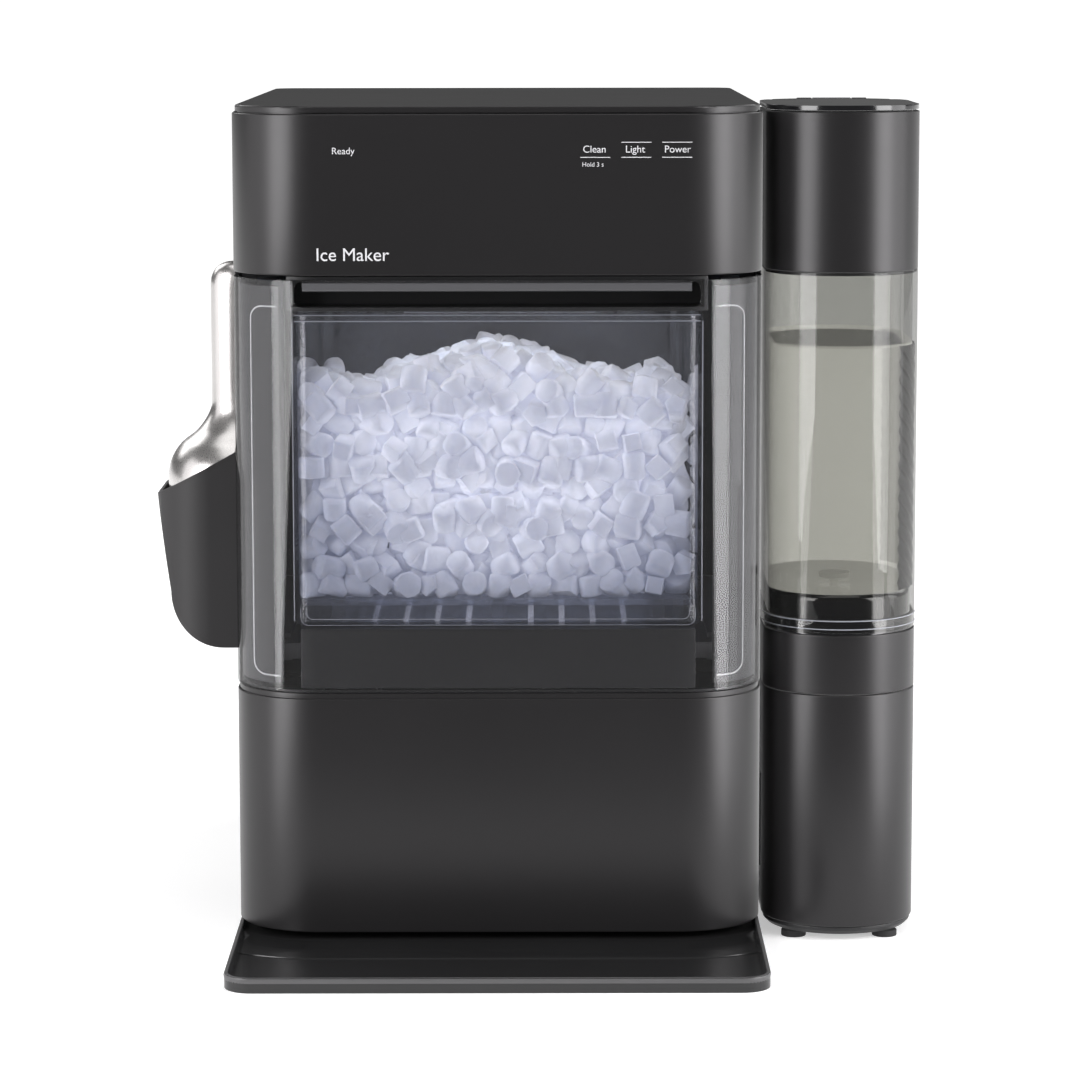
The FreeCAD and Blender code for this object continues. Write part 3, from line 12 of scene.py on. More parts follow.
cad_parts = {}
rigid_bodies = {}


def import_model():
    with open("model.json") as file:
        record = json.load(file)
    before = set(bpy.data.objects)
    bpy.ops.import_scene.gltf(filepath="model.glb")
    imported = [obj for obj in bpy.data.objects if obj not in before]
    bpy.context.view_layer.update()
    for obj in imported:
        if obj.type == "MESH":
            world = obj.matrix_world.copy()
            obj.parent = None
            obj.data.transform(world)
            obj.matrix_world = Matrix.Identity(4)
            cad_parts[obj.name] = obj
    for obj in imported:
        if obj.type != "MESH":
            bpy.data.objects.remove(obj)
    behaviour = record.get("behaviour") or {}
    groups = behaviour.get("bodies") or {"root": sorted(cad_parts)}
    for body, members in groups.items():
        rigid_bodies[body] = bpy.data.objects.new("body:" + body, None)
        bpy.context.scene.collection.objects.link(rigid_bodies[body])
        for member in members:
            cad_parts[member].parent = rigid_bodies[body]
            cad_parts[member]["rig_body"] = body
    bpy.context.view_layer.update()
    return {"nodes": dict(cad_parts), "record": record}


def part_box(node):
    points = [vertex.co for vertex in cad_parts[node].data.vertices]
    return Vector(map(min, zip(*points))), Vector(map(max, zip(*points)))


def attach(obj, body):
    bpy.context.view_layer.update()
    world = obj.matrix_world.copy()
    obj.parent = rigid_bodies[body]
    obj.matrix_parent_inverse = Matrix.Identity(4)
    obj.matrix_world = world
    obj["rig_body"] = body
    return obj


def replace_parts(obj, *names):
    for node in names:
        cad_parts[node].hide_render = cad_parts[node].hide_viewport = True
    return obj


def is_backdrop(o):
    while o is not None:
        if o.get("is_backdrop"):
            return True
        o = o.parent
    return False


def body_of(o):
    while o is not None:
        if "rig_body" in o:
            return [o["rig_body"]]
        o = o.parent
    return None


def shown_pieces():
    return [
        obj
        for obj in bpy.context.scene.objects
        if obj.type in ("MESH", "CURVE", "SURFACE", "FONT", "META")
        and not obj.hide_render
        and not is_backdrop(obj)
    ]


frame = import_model()
MM = 0.001


# ---------------------------------------------------------------- places read from the CAD
def span(node):
    """Lowest and highest corner of a CAD node."""
    low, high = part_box(node)
    return np.array(low), np.array(high)


HEAD_LOW, HEAD_HIGH = span("head_front_panel")
SHELL_LOW, SHELL_HIGH = span("drawer_shell")
BIN_LOW, BIN_HIGH = span("ice_bin")
STRAINER_TOP = span("bin_strainer")[1][2]
RESERVOIR_LOW, RESERVOIR_HIGH = span("tank_reservoir")
TANK_FLOOR = span("tank_base")[1][2]
SCOOP_LOW, SCOOP_HIGH = span("scoop")
BAY_LOW, BAY_HIGH = span("bay_liner")
FRONT_Y = HEAD_LOW[1]
CENTRE_X = (HEAD_LOW[0] + HEAD_HIGH[0]) / 2
HALF_WIDTH = (HEAD_HIGH[0] - HEAD_LOW[0]) / 2
WRAP_END_Y = HEAD_HIGH[1]
TANK_X = (RESERVOIR_LOW[0] + RESERVOIR_HIGH[0]) / 2
FRONT_RADIUS = 43 * MM
TANK_HALF = 38.4 * MM
TANK_LENGTH = 135 * MM
FLANGE_TOP = TANK_FLOOR - 12.5 * MM
WATER_LEVEL = 0.3006
FRAME_EDGE = 108 * MM       # inner edge of the satin frame, from the middle
FRAME_LINE = 122 * MM       # outer side of the raised line on it
PRINT_Y = FRONT_Y - 0.00006


# ---------------------------------------------------------------- shader helper
class Value:
    """One shader socket; arithmetic on it adds a Math node and gives the new socket."""

    def __init__(self, graph, socket):
        self.graph, self.socket = graph, socket

    def __add__(self, other):
        return self.graph.math("ADD", self, other)

    def __sub__(self, other):
        return self.graph.math("SUBTRACT", self, other)

    def __rsub__(self, other):
        return self.graph.math("SUBTRACT", other, self)

    def __mul__(self, other):
        return self.graph.math("MULTIPLY", self, other)

    def __truediv__(self, other):
        return self.graph.math("DIVIDE", self, other)

    def __gt__(self, other):
        return self.graph.math("GREATER_THAN", self, other)

    __radd__ = __add__
    __rmul__ = __mul__


class Graph:
    """A material's node tree."""

    def __init__(self, name):
        self.material = bpy.data.materials.new(name)
        self.material.use_nodes = True
        self.nodes = self.material.node_tree.nodes
        self.nodes.clear()

    def add(self, kind, settings=None, inputs=None, output=0):
        """Makes a node: settings first, then its sockets."""
        node = self.nodes.new(kind)
        for key, setting in (settings or {}).items():
            setattr(node, key, setting)
        for key, value in (inputs or {}).items():
            if isinstance(value, Value):
                self.material.node_tree.links.new(value.socket, node.inputs[key])
            else:
                node.inputs[key].default_value = value
        return Value(self, node.outputs[output]) if node.outputs else None

    def place(self, stretch=(1, 1, 1)):
        """Object coordinates, stretched along the axes."""
        coordinates = self.add("ShaderNodeTexCoord", output="Object")
        return self.add("ShaderNodeMapping", {}, {"Vector": coordinates, "Scale": stretch})

    def noise(self, scale, stretch=(1, 1, 1), detail=2.0, roughness=0.5):
        """Noise from 0 to 1 on Object coordinates."""
        return self.add("ShaderNodeTexNoise", {}, {
            "Vector": self.place(stretch), "Scale": scale, "Detail": detail,
            "Roughness": roughness})

    def math(self, operation, first, second=0.0):
        """Math node."""
        return self.add("ShaderNodeMath", {"operation": operation}, {0: first, 1: second})

    def axis(self, name):
        """One Object coordinate."""
        coordinates = self.add("ShaderNodeTexCoord", output="Object")
        return self.add("ShaderNodeSeparateXYZ", {}, {0: coordinates}, output=name)

    def blend(self, factor, first, second):
        """Colour mix."""
        return self.add("ShaderNodeMix", {"data_type": "RGBA"}, {
            "Factor": factor, 6: first, 7: second}, output=2)

    def bump(self, height, distance, strength=1.0):
        """Normal from a height in 0 to 1."""
        return self.add("ShaderNodeBump", {}, {
            "Height": height, "Distance": distance, "Strength": strength})

    def fresnel(self, ior, inputs=None):
        """Fresnel reflectance that is the same on both faces of a thin wall."""
        rear = self.add("ShaderNodeNewGeometry", output="Backfacing")
        both = ior - (ior - 1 / ior) * rear
        return self.add("ShaderNodeFresnel", {}, {"IOR": both, **(inputs or {})})

    def principled(self, inputs):
        """Principled shader."""
        return self.add("ShaderNodeBsdfPrincipled", {}, inputs)

    def finish(self, shader):
        """Connects the surface and gives the material."""
        self.add("ShaderNodeOutputMaterial", {}, {"Surface": shader})
        return self.material


def rgba(red, green, blue):
    """Colour with full alpha."""
    return (red, green, blue, 1)


# ---------------------------------------------------------------- finishes
def satin_panel(name, metallic, shade, roughness=0.34):
    """Satin metallic coating with a very fine horizontal grain and faint handling marks."""
    g = Graph(name)
    grain = g.noise(900, (0.06, 0.06, 1.0), 3)
    cloud = g.noise(9, detail=3)
    darker = tuple(0.88 * c for c in shade)
    return g.finish(g.principled({
        "Base Color": g.blend(cloud, rgba(*darker), rgba(*shade)), "Metallic": metallic,
        "Roughness": roughness - 0.04 + 0.04 * grain + 0.05 * cloud,
        "Normal": g.bump(grain, 0.00002, 0.35)}))


def moulded(name, colour, roughness=0.5, texture=0.00005, level=0.45):
    """Moulded plastic with a fine spark-eroded texture."""
    g = Graph(name)
    fine = g.noise(1500, detail=2)
    cloud = g.noise(14, detail=2)
    darker = tuple(0.82 * c for c in colour)
    return g.finish(g.principled({
        "Base Color": g.blend(cloud, rgba(*darker), rgba(*colour)),
        "Roughness": roughness - 0.05 + 0.1 * cloud,
        "Specular IOR Level": level,
        "Normal": g.bump(fine, texture, 0.1)}))


def gloss(name, colour, roughness=0.12):
    """Polished moulded plastic with a faint waviness."""
    g = Graph(name)
    wave = g.noise(30, detail=1)
    return g.finish(g.principled({
        "Base Color": rgba(*colour), "Roughness": roughness + 0.05 * wave,
        "Coat Weight": 0.3, "Coat Roughness": 0.05,
        "Normal": g.bump(wave, 0.0004, 0.15)}))


def clear_plastic(name, tint, haze, haze_colour, mirror_level=0.9, roughness=0.01, ior=1.49):
    """Clear plastic: tinted see-through, mirror-like at a grazing angle, with a slight haze."""
    g = Graph(name)
    scuff = g.noise(60, detail=4)
    through = g.add("ShaderNodeBsdfTransparent", {}, {"Color": rgba(*tint)})
    mirror = g.add("ShaderNodeBsdfAnisotropic", {}, {
        "Color": rgba(mirror_level, mirror_level, mirror_level),
        "Roughness": roughness})
    veil = g.principled({
        "Base Color": rgba(*haze_colour), "Roughness": 0.4, "Specular IOR Level": 0.0})
    glassy = g.add("ShaderNodeMixShader", {}, {0: g.fresnel(ior), 1: through, 2: mirror})
    amount = haze * (0.8 + 0.4 * scuff)
    return g.finish(g.add("ShaderNodeMixShader", {}, {0: amount, 1: glassy, 2: veil}))


def rubber():
    """Matt black rubber with a bloom."""
    g = Graph("rubber")
    bloom = g.noise(120, detail=4)
    return g.finish(g.principled({
        "Base Color": g.blend(bloom, rgba(0.008, 0.008, 0.008), rgba(0.02, 0.02, 0.021)),
        "Roughness": 0.75 + 0.15 * bloom, "Normal": g.bump(bloom, 0.0001, 0.4)}))


def metal(name, colour, roughness, stretch=(1, 1, 1), grain=600, depth=0.00002):
    """Bare metal with drawn or brushed grain along the axis that stretch leaves short."""
    g = Graph(name)
    lines = g.noise(grain, stretch, 4)
    cloud = g.noise(20, detail=2)
    darker = tuple(0.85 * c for c in colour)
    return g.finish(g.principled({
        "Base Color": g.blend(cloud, rgba(*darker), rgba(*colour)), "Metallic": 1.0,
        "Roughness": roughness + 0.08 * lines,
        "Normal": g.bump(lines, depth, 0.4)}))


def foam():
    """Closed-cell insulation."""
    g = Graph("foam")
    cells = g.add("ShaderNodeTexVoronoi", {}, {"Vector": g.place(), "Scale": 500})
    return g.finish(g.principled({
        "Base Color": g.blend(cells, rgba(0.02, 0.02, 0.022), rgba(0.05, 0.05, 0.054)),
        "Roughness": 0.9, "Normal": g.bump(cells, 0.0003, 0.6)}))


def circuit():
    """Solder mask with traces."""
    g = Graph("circuit")
    cells = g.add("ShaderNodeTexVoronoi", {"distance": "CHEBYCHEV"},
                  {"Vector": g.place(), "Scale": 160})
    traces = cells > 0.42
    return g.finish(g.principled({
        "Base Color": g.blend(traces, rgba(0.01, 0.09, 0.035), rgba(0.03, 0.2, 0.08)),
        "Roughness": 0.4 - 0.1 * traces}))


def light_diffuser():
    """Opal cover of the bin light."""
    g = Graph("light_diffuser")
    glow = 0.8 + 0.2 * g.noise(40)
    return g.finish(g.principled({
        "Base Color": rgba(0.9, 0.93, 1), "Roughness": 0.5,
        "Emission Color": g.blend(glow, rgba(0.75, 0.82, 1), rgba(0.85, 0.92, 1)),
        "Emission Strength": 1.2}))


def nugget_ice():
    """Frosted nuggets: pale blue-white and cloudy inside, with painted light and a painted glow
    brightest near the heap's middle, and painted shade in the gaps between nuggets.
    """
    g = Graph("nugget_ice")
    cloud = g.noise(190, detail=4, roughness=0.6)
    frost = g.noise(900, detail=3)
    facets = g.add("ShaderNodeTexVoronoi", {}, {"Vector": g.place(), "Scale": 110})
    across = (g.axis("X") - float(CENTRE_X + 0.005)) / 0.1
    up = (g.axis("Z") - 0.268) / 0.085
    spread = across * across + up * up
    # Painted light: 1 at the heap's middle, where the bin light falls brightest, falling to 0
    # towards its sides.
    middle = g.add("ShaderNodeMapRange", {"interpolation_type": "SMOOTHERSTEP"}, {
        "Value": spread, "From Min": 0.0, "From Max": 1.9, "To Min": 1.0, "To Max": 0.0})
    # Painted shade: ambient occlusion darkens the glow in the gaps between nuggets.
    painted_gap_shade = g.add("ShaderNodeAmbientOcclusion", {"samples": 6}, {"Distance": 0.006},
                     output="AO")
    # Painted light: the base colour is paler in the middle, and greyer and bluer towards the sides.
    colour = g.blend(middle, rgba(0.70, 0.72, 0.80), rgba(0.90, 0.91, 0.95))
    mottled = g.blend(cloud * 0.7, colour, rgba(0.50, 0.53, 0.62))
    # Painted glow: the ice glows though it is no lamp, brightest in the middle; the next colour is
    # that glow in painted shade.
    glow = g.blend(middle, rgba(0.30, 0.31, 0.37), rgba(1.0, 0.99, 1.0))
    painted_shade_glow = g.blend(middle, rgba(0.03, 0.035, 0.05), rgba(0.22, 0.22, 0.26))
    facing = g.add("ShaderNodeLayerWeight", {}, {"Blend": 0.35}, output="Facing")
    inner = g.blend(painted_gap_shade * (0.05 + 0.7 * cloud + 0.6 * facets), painted_shade_glow, glow)
    solid = g.principled({
        "Base Color": mottled, "Roughness": 0.16 + 0.2 * frost, "IOR": 1.31,
        "Subsurface Weight": 0.3, "Subsurface Radius": (0.002, 0.0024, 0.003),
        "Subsurface Scale": 1.0, "Emission Strength": 0.66, "Emission Color": inner,
        "Normal": g.bump(cloud, 0.0012, 0.35)})
    through = g.add("ShaderNodeBsdfTransparent", {}, {"Color": rgba(0.86, 0.88, 0.93)})
    # The nuggets are also more solid where the painted light is brightest.
    cover = 0.62 + 0.3 * facing + 0.2 * middle
    return g.finish(g.add("ShaderNodeMixShader", {}, {0: cover, 1: through, 2: solid}))


def water():
    """Clear water seen through the tinted tank, with a faint pale painted glow that stands in for
    the bright backdrop seen through it.
    """
    g = Graph("water")
    ripple = g.noise(25, detail=1)
    through = g.add("ShaderNodeBsdfTransparent", {}, {"Color": rgba(0.97, 0.97, 0.96)})
    mirror = g.add("ShaderNodeBsdfAnisotropic", {}, {
        "Color": rgba(0.9, 0.9, 0.9), "Roughness": 0.02})
    # Painted light: a pale glow for the bright backdrop seen through the water.
    painted_backlight = g.principled({
        "Base Color": rgba(0.72, 0.72, 0.67), "Roughness": 0.6, "Specular IOR Level": 0.0,
        "Emission Color": rgba(1.0, 0.99, 0.93), "Emission Strength": 0.55})
    fresnel = g.fresnel(1.12, {"Normal": g.bump(ripple, 0.0002, 0.1)})
    clear = g.add("ShaderNodeMixShader", {}, {0: fresnel, 1: through, 2: mirror})
    return g.finish(g.add("ShaderNodeMixShader", {}, {0: 0.27 + 0.04 * ripple, 1: clear, 2: painted_backlight}))


def water_surface():
    """The water's upper face, seen at a shallow angle: darker and mirror-like."""
    g = Graph("water_surface")
    through = g.add("ShaderNodeBsdfTransparent", {}, {"Color": rgba(0.78, 0.78, 0.77)})
    mirror = g.add("ShaderNodeBsdfAnisotropic", {}, {
        "Color": rgba(0.35, 0.35, 0.35), "Roughness": 0.02 + 0.02 * g.noise(30)})
    return g.finish(g.add("ShaderNodeMixShader", {}, {0: g.fresnel(1.33), 1: through, 2: mirror}))


def printed_white():
    """Pale screen-printed ink."""
    g = Graph("printed_white")
    wear = g.noise(400, detail=2)
    return g.finish(g.principled({
        "Base Color": g.blend(wear, rgba(0.55, 0.55, 0.57), rgba(0.72, 0.72, 0.74)),
        "Roughness": 0.45}))


FINISHES = {
    "charcoal_panel": satin_panel("charcoal_panel", 0.4, (0.022, 0.021, 0.022)),
    "frame_satin": moulded("frame_satin", (0.050, 0.050, 0.0505), 0.55),
    # Painted light: a paler copy of the tray plastic, for the rim that catches the light.
    "tray_rim": satin_panel("tray_rim", 0.0, (0.078, 0.077, 0.079), 0.45),
    "black_plastic": moulded("black_plastic", (0.010, 0.010, 0.011), 0.45),
    "gloss_black": gloss("gloss_black", (0.006, 0.006, 0.007)),
    "tray_plastic": moulded("tray_plastic", (0.018, 0.018, 0.0185), 0.25),
    "holder_plastic": moulded("holder_plastic", (0.030, 0.029, 0.030), 0.5, level=0.25),
    "smoke_shell": clear_plastic("smoke_shell", (0.93, 0.93, 0.94), 0.03, (0.2, 0.2, 0.2), 0.42),
    "clear_bin": clear_plastic("clear_bin", (0.96, 0.965, 0.98), 0.03, (0.4, 0.42, 0.48)),
    "clear_strainer": clear_plastic("clear_strainer", (0.8, 0.83, 0.9), 0.12, (0.3, 0.32, 0.4)),
    "clear_tank": clear_plastic("clear_tank", (0.735, 0.735, 0.72), 0.02, (0.10, 0.10, 0.095), 0.4),
    # Dark ribbed strip on the tank's outer side.
    "tank_side_dark": moulded("tank_side_dark", (0.035, 0.035, 0.035), 0.4),
    "rubber": rubber(),
    "polished_steel": metal("polished_steel", (0.64, 0.62, 0.61), 0.24, (6, 6, 0.05), 300,
                            0.000001),
    "zinc_steel": metal("zinc_steel", (0.55, 0.55, 0.57), 0.3),
    "white_plastic": moulded("white_plastic", (0.62, 0.62, 0.6), 0.5),
    "foam": foam(),
    "compressor_black": gloss("compressor_black", (0.008, 0.008, 0.008), 0.25),
    "aluminium_fins": metal("aluminium_fins", (0.7, 0.71, 0.72), 0.35),
    "copper": metal("copper", (0.78, 0.38, 0.24), 0.25),
    "circuit_green": circuit(),
    "led_diffuser": light_diffuser(),
    "ice": nugget_ice(),
    "water": water(),
    "water_surface": water_surface(),
    # Painted highlights: pale gloss for the beads along the edges of the clear bin and the tank's
    # flange.
    "painted_edge_highlight": gloss("painted_edge_highlight", (0.30, 0.31, 0.35), 0.25),
    "print": printed_white(),
    "handle_satin": gloss("handle_satin", (0.075, 0.075, 0.08), 0.3),
    # Painted highlight: pale gloss for the bead along the frame's raised line.
    "painted_bead_highlight": gloss("painted_bead_highlight", (0.62, 0.62, 0.63), 0.15),
}


# ---------------------------------------------------------------- mesh helpers
def new_piece(name, points, faces, finish, body, slot=None, smooth=30):
    """A mesh piece that rides on a body; edges sharper than smooth degrees stay crisp."""
    mesh = bpy.data.meshes.new(name)
    mesh.from_pydata(np.asarray(points, float).reshape(-1, 3).tolist(), [],
                     [tuple(int(i) for i in face) for face in faces])
    mesh.materials.append(FINISHES[finish])
    piece = bpy.data.objects.new(name, mesh)
    bpy.context.collection.objects.link(piece)
    shade(mesh, smooth)
    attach(piece, body)
    return piece


def shade(mesh, angle):
    """Smooth shading, with edges sharper than angle degrees kept crisp and faces outwards."""
    work = bmesh.new()
    work.from_mesh(mesh)
    bmesh.ops.recalc_face_normals(work, faces=work.faces)
    limit = math.radians(angle)
    for face in work.faces:
        face.smooth = True
    for edge in work.edges:
        edge.smooth = len(edge.link_faces) == 2 and edge.calc_face_angle(0) < limit
    work.to_mesh(mesh)
    work.free()


def grid_faces(rows, columns, close_rows=False, close_columns=False):
    """Quads of a grid of points, rows by columns, joined round where asked."""
    r = np.arange(rows if close_rows else rows - 1)
    c = np.arange(columns if close_columns else columns - 1)
    r, c = [a.ravel() for a in np.meshgrid(r, c, indexing="ij")]
    r1, c1 = (r + 1) % rows, (c + 1) % columns
    return np.stack([r * columns + c, r * columns + c1, r1 * columns + c1, r1 * columns + c], 1)


def sweep(name, path, normals, profile, finish, node=None, body=None, closed=False, smooth=30):
    """A wall swept along a plan path.

    Point (i, j) is path point i moved along its plan normal by profile outset j, at profile
    height j. An open sweep is capped at both ends; a closed one joins round.
    """
    profile = np.asarray(profile)
    plan = path[:, None, :] + normals[:, None, :] * profile[None, :, :1]
    points = np.concatenate(
        [plan, np.broadcast_to(profile[None, :, 1:], plan[..., :1].shape)], 2)
    rows, columns = len(path), len(profile)
    faces = [tuple(f) for f in grid_faces(rows, columns, closed, True)]
    if not closed:
        faces.append(tuple(range(columns)))
        faces.append(tuple(range((rows - 1) * columns, rows * columns))[::-1])
    piece = new_piece(name, points, faces, finish, body or BODY_OF[node],
                      SLOT_OF[node] if node else None, smooth)
    return piece


def wall(thickness, low, high, radius, outset=0.0, steps=4):
    """Cross-section of a wall with rounded outer edges, as (outset, height) pairs."""
    turn = np.linspace(0, np.pi / 2, steps + 1)
    below = [(outset - radius + radius * np.sin(t), low + radius - radius * np.cos(t))
             for t in turn]
    above = [(outset - radius + radius * np.cos(t), high - radius + radius * np.sin(t))
             for t in turn]
    return below + above + [(outset - thickness, high), (outset - thickness, low)]


def wrap_path(steps=24, flats=12):
    """Plan path round the cabinet's front, from the left side's rear edge to the right's."""
    side = np.linspace(WRAP_END_Y, FRONT_Y + FRONT_RADIUS, 5)[:-1]
    turn = np.linspace(np.pi, 1.5 * np.pi, steps)
    centre = HALF_WIDTH - FRONT_RADIUS
    arc = np.stack([-centre + FRONT_RADIUS * np.cos(turn),
                    FRONT_Y + FRONT_RADIUS + FRONT_RADIUS * np.sin(turn)], 1)
    flat = np.stack([np.linspace(-centre, 0, flats)[1:], np.full(flats - 1, FRONT_Y)], 1)
    half = np.vstack([np.stack([np.full(4, -HALF_WIDTH), side], 1), arc, flat])
    lean = np.vstack([np.tile([-1.0, 0.0], (4, 1)),
                      np.stack([np.cos(turn), np.sin(turn)], 1),
                      np.tile([0.0, -1.0], (flats - 1, 1))])
    path = np.vstack([half, half[-2::-1] * [-1, 1]]) + [CENTRE_X, 0]
    normals = np.vstack([lean, lean[-2::-1] * [-1, 1]])
    return path, normals


def capsule(half_width, low_y, high_y, steps=33):
    """Closed plan outline of two half circles joined by straight sides, with its normals."""
    turn = np.linspace(np.pi, 2 * np.pi, steps)
    front = np.stack([np.cos(turn), np.sin(turn)], 1)
    path = np.vstack([half_width * front + [TANK_X, low_y + half_width],
                      -half_width * front + [TANK_X, high_y - half_width]])
    return path, np.vstack([front, -front])


def refined(node, bevel):
    """A welded copy of a CAD node with rounded edges, which stands for the node."""
    source = frame["nodes"][node]
    mesh = source.data.copy()
    mesh.name = node + "_look"
    work = bmesh.new()
    work.from_mesh(mesh)
    bmesh.ops.remove_doubles(work, verts=work.verts, dist=0.00002)
    bmesh.ops.dissolve_limit(work, angle_limit=math.radians(1.0), verts=work.verts,
                             edges=work.edges)
    if bevel:
        sharp = [e for e in work.edges
                 if len(e.link_faces) == 2 and e.calc_face_angle(0) > math.radians(32)]
        bmesh.ops.bevel(work, geom=sharp, offset=bevel, offset_type="OFFSET", segments=2,
                        profile=0.5, affect="EDGES", clamp_overlap=True)
    work.to_mesh(mesh)
    work.free()
    shade(mesh, 34)
    mesh.materials.clear()
    mesh.materials.append(FINISHES[SLOT_OF[node]])
    piece = bpy.data.objects.new(mesh.name, mesh)
    bpy.context.collection.objects.link(piece)
    flat = piece.modifiers.new("flat_faces", "WEIGHTED_NORMAL")
    flat.keep_sharp = True
    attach(piece, BODY_OF[node])
    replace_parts(piece, node)
    return piece


BODY_OF = {node: body for body, nodes in frame["record"]["behaviour"]["bodies"].items()
           for node in nodes}
SLOT_OF = {s["node"]: s["material_slot"] for s in frame["record"]["subparts"]}


# ---------------------------------------------------------------- CAD nodes that keep their mesh
for subpart in frame["record"]["subparts"]:
    node_object = frame["nodes"][subpart["node"]]
    node_object.data.materials.clear()
    node_object.data.materials.append(
        FINISHES["handle_satin" if subpart["node"] == "drawer_handle"
                 else subpart["material_slot"]])

for node, bevel in {
        "side_panel_left": 0.4, "side_panel_right": 0.4, "rear_panel": 0.4,
        "handle_pocket": 0.4, "ice_bin": 0.5, "drawer_carriage": 0.5, "dock_base_ring": 0.3,
        "dock_band": 0.6, "tank_collar": 0.4, "tank_lid": 0.5, "scoop_holder": 0.4,
        "cabinet_feet": 0.3, "dock_feet": 0.5, "power_inlet": 0.3,
        "drain_spouts": 0.3, "drip_tray": 0.4}.items():
    refined(node, bevel * MM)


# ---------------------------------------------------------------- swept shells
WALL = 2.2 * MM


def cabinet_wraps():
    """Head panel, lower panel with its inner lip, and a black sheet behind the lip that paints
    shade into the gap under the drawer.
    """
    path, normals = wrap_path()
    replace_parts(sweep("head_wrap", path, normals, wall(WALL, HEAD_LOW[2], HEAD_HIGH[2], 0.7 * MM),
                      "charcoal_panel", "head_front_panel"), "head_front_panel")
    low, high = span("lower_front_panel")
    lip = 2.7 * MM
    panel = wall(WALL, low[2], high[2] - lip, 0.7 * MM)
    inner = wall(WALL, high[2] - 8 * MM, high[2], 0.4 * MM, -1.0 * MM)
    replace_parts(sweep("lower_wrap", path, normals, panel, "charcoal_panel",
                      "lower_front_panel"), "lower_front_panel")
    sweep("lower_lip", path, normals, inner, "charcoal_panel", "lower_front_panel")
    # Painted shade: a black sheet behind the lip, so the gap under the drawer shell reads dark.
    shade_sheet = wall(1.5 * MM, high[2] - 8 * MM, high[2] + 1.3 * MM, 0.4 * MM, -3.6 * MM)
    sweep("sill_shade_sheet", path, normals, shade_sheet, "black_plastic", "lower_front_panel")


def frame_sides():
    """Satin frame inside the shell's corners, from the window's edge round to the sides."""
    low, high = span("drawer_surround")
    path, normals = wrap_path(60)
    profile = wall(2.2 * MM, low[2] - 4 * MM, high[2] + 10 * MM, 0.4 * MM, -2.7 * MM)
    for side, name in ((-1, "frame_left"), (1, "frame_right")):
        keep = side * (path[:, 0] - CENTRE_X) > FRAME_EDGE
        piece = sweep(name, path[keep], normals[keep], profile, "frame_satin",
                      "drawer_surround")
        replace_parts(piece, "drawer_surround")


def bead(name, points, radius, finish, body, sides=8):
    """Thin round bead along a 3-D polyline: circles across the mean direction at each point."""
    points = np.asarray(points)
    ahead = np.gradient(points, axis=0)
    ahead /= np.linalg.norm(ahead, axis=1)[:, None]
    across = np.cross(ahead, [0.31, -0.9, 0.31])
    across /= np.linalg.norm(across, axis=1)[:, None]
    up = np.cross(ahead, across)
    turn = np.linspace(0, 2 * np.pi, sides, endpoint=False)
    ring = (points[:, None] + radius * (across[:, None] * np.cos(turn)[None, :, None]
                                        + up[:, None] * np.sin(turn)[None, :, None]))
    faces = [tuple(f) for f in grid_faces(len(points), sides, False, True)]
    faces += [tuple(range(sides)), tuple(range((len(points) - 1) * sides, len(points) * sides))]
    return new_piece(name, ring, faces, finish, body, "smoke_shell", 60)


def frame_beads():
    """Raised line on the frame, up the corner, round and in towards the window, in pale gloss grey:
    a painted highlight along the line's edge.
    """
    low, high = span("drawer_surround")
    inset = FRONT_RADIUS - 2.6 * MM
    centre = HALF_WIDTH - FRONT_RADIUS
    turn = np.linspace(0, np.pi / 2, 7)
    corner = 6 * MM
    ends = [FRAME_EDGE + 0.5 * MM, FRAME_EDGE + 3 * MM]
    out, top, bottom = FRAME_LINE, high[2], low[2]
    x = np.concatenate([ends, out - corner + corner * np.sin(turn),
                        out - corner + corner * np.cos(turn), ends[::-1]])
    z = np.concatenate([[bottom, bottom], bottom + corner - corner * np.cos(turn),
                        top - corner + corner * np.sin(turn), [top, top]])
    y = FRONT_Y + FRONT_RADIUS - np.sqrt(inset ** 2 - (x - centre) ** 2)
    for side, name in ((-1, "frame_bead_left"), (1, "frame_bead_right")):
        bead(name, np.stack([CENTRE_X + side * x, y, z], 1), 0.45 * MM, "painted_bead_highlight", "drawer")


def bin_edges():
    """Pale beads along the clear bin's rim and front corners: painted highlights where those edges
    catch the light.
    """
    low, high = BIN_LOW, BIN_HIGH
    rim = high[2] - 1.5 * MM
    y = low[1] - 0.1 * MM
    for name, x0, x1, z in (("bin_rim_top", low[0] + 1.5 * MM, high[0] - 1.5 * MM, rim),
                            ("bin_rim_low", low[0] + 1.5 * MM, high[0] - 1.5 * MM, rim - 3 * MM),
                            ("bin_tab_edge", CENTRE_X - 46 * MM, CENTRE_X + 48 * MM, high[2])):
        x = np.linspace(x0, x1, 12)
        bead(name, np.stack([x, np.full(12, y), np.full(12, z)], 1), 0.3 * MM, "painted_edge_highlight",
             "drawer")
    for name, x in (("bin_edge_left", low[0] + 0.3 * MM), ("bin_edge_right", high[0] - 0.3 * MM)):
        z = np.linspace(low[2] + 3 * MM, rim - 3 * MM, 12)
        bead(name, np.stack([np.full(12, x), np.full(12, y + 0.9 * MM), z], 1), 0.3 * MM,
             "painted_edge_highlight", "drawer")


